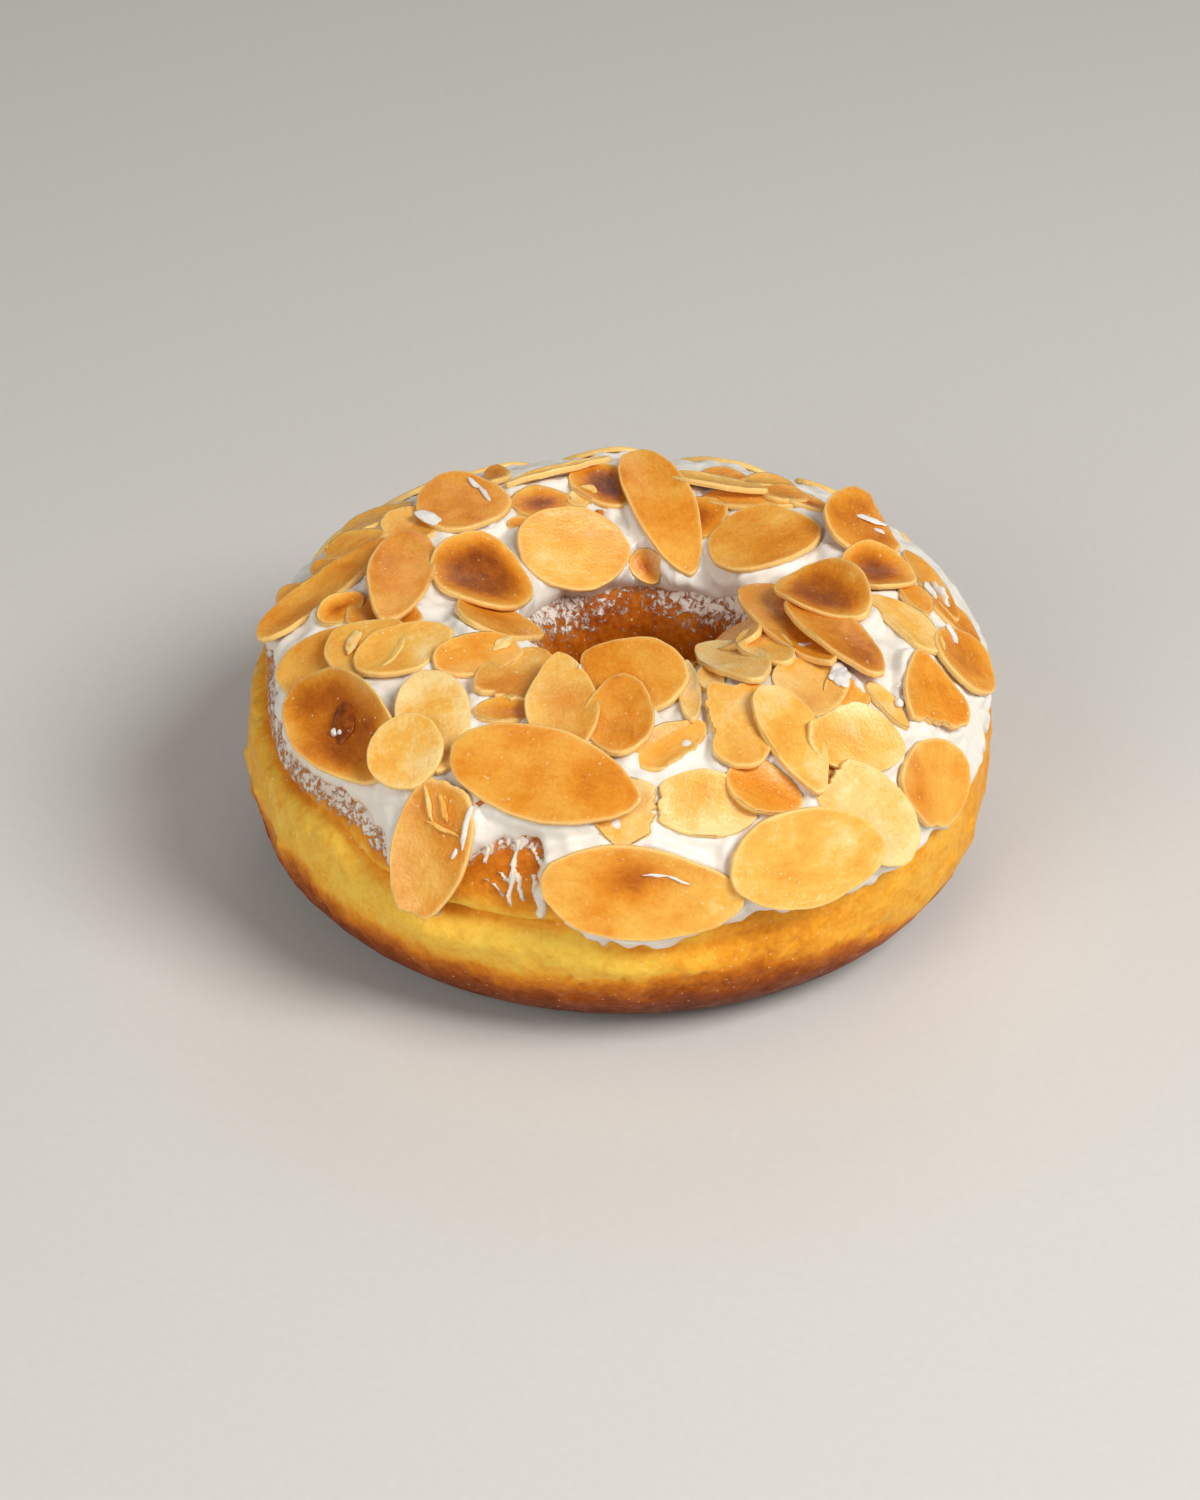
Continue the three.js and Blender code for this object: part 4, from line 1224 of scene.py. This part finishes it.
def soft_light(name, place, size, power):
    deselect_all()
    bpy.ops.object.light_add(type="AREA", location=place)
    light = bpy.context.object
    light.name = name
    light.data.shape = "DISK"
    light.data.size = size
    light.data.energy = power
    light.rotation_euler = (Vector(LIGHT_AIM) - Vector(place)).to_track_quat("-Z", "Y").to_euler()


class DOUGHNUT_OT_stage(bpy.types.Operator):
    """Add the floor, the soft lights and the camera"""

    bl_idname = "doughnut.add_stage"
    bl_label = "Stage"

    def execute(self, context):
        studio = context.scene.doughnut_studio
        deselect_all()
        bpy.ops.mesh.primitive_plane_add(size=6)
        floor = context.object
        floor.name = "floor"
        # Seamless background paper: matt, its fibres drawn at about 1 mm, coarser than they are,
        # so that the floor isn't one flat colour.
        paper, tree, shader = new_material("seamless_paper", "#dcd9d4")
        place = add_node(tree, "TexCoord").outputs["Object"]
        fibres = noise_texture(tree, place, scale=900, detail=2)
        colours = {"data_type": "RGBA", 6: tuple(studio.floor), 7: linear("#d6d3cd")}
        shade = add_node(tree, "Mix", colours, {0: fibres})
        set_node(tree, shader, {"Roughness": 0.85}, {"Base Color": shade.outputs[2]})
        floor.data.materials.append(paper)

        soft_light("key_light", (0.44, -0.34, 0.58), 0.4, studio.key_power)
        soft_light("fill_light", (-0.42, -0.62, 0.42), 0.5, studio.fill_power)
        soft_light("back_light", (0.1, 0.7, 0.7), 0.4, studio.fill_power / 4)
        world = bpy.data.worlds.new("soft_room")
        context.scene.world = world
        world.use_nodes = True
        room = world.node_tree.nodes["Background"]
        set_node(world.node_tree, room, {"Color": linear("#f4efe8"), "Strength": 0.22}, {})
        context.scene.view_settings.view_transform = "Standard"

        bpy.ops.object.camera_add(
            location=Vector(CAMERA_PLACE) * MM, rotation=(math.radians(90 - CAMERA_DOWN), 0, 0)
        )
        camera = context.object
        camera.data.lens = studio.lens
        camera.data.clip_start = 0.01
        context.scene.camera = camera
        return {"FINISHED"}


class DOUGHNUT_PT_pieces(bpy.types.Panel):
    """Lists the doughnut's pieces in the order they are added"""

    bl_label = "Almond Doughnut"
    bl_space_type = "VIEW_3D"
    bl_region_type = "UI"
    bl_category = "Doughnut"

    def draw(self, context):
        for operator in PIECES:
            self.layout.operator(operator.bl_idname)
        for group in ("doughnut_dough", "doughnut_cream", "doughnut_almonds", "doughnut_studio"):
            sizes = getattr(context.scene, group)
            box = self.layout.box()
            for name in sizes.__annotations__:
                box.prop(sizes, name)


PIECES = [
    DOUGHNUT_OT_dough, DOUGHNUT_OT_cream, DOUGHNUT_OT_almonds, DOUGHNUT_OT_crumbs,
    DOUGHNUT_OT_stage,
]
GROUPS = {
    "doughnut_dough": FriedDough,
    "doughnut_cream": WhiteCream,
    "doughnut_almonds": ToastedAlmond,
    "doughnut_studio": Studio,
}
CLASSES = [*GROUPS.values(), *PIECES, DOUGHNUT_PT_pieces]


def register():
    for each in CLASSES:
        bpy.utils.register_class(each)
    for name, group in GROUPS.items():
        setattr(bpy.types.Scene, name, PointerProperty(type=group))


def unregister():
    for name in GROUPS:
        delattr(bpy.types.Scene, name)
    for each in reversed(CLASSES):
        bpy.utils.unregister_class(each)


def main():
    register()
    bpy.ops.doughnut.add_dough()
    bpy.ops.doughnut.add_cream()
    bpy.ops.doughnut.add_almonds()
    bpy.ops.doughnut.add_crumbs()
    bpy.ops.doughnut.add_stage()


if __name__ == "__main__":
    main()
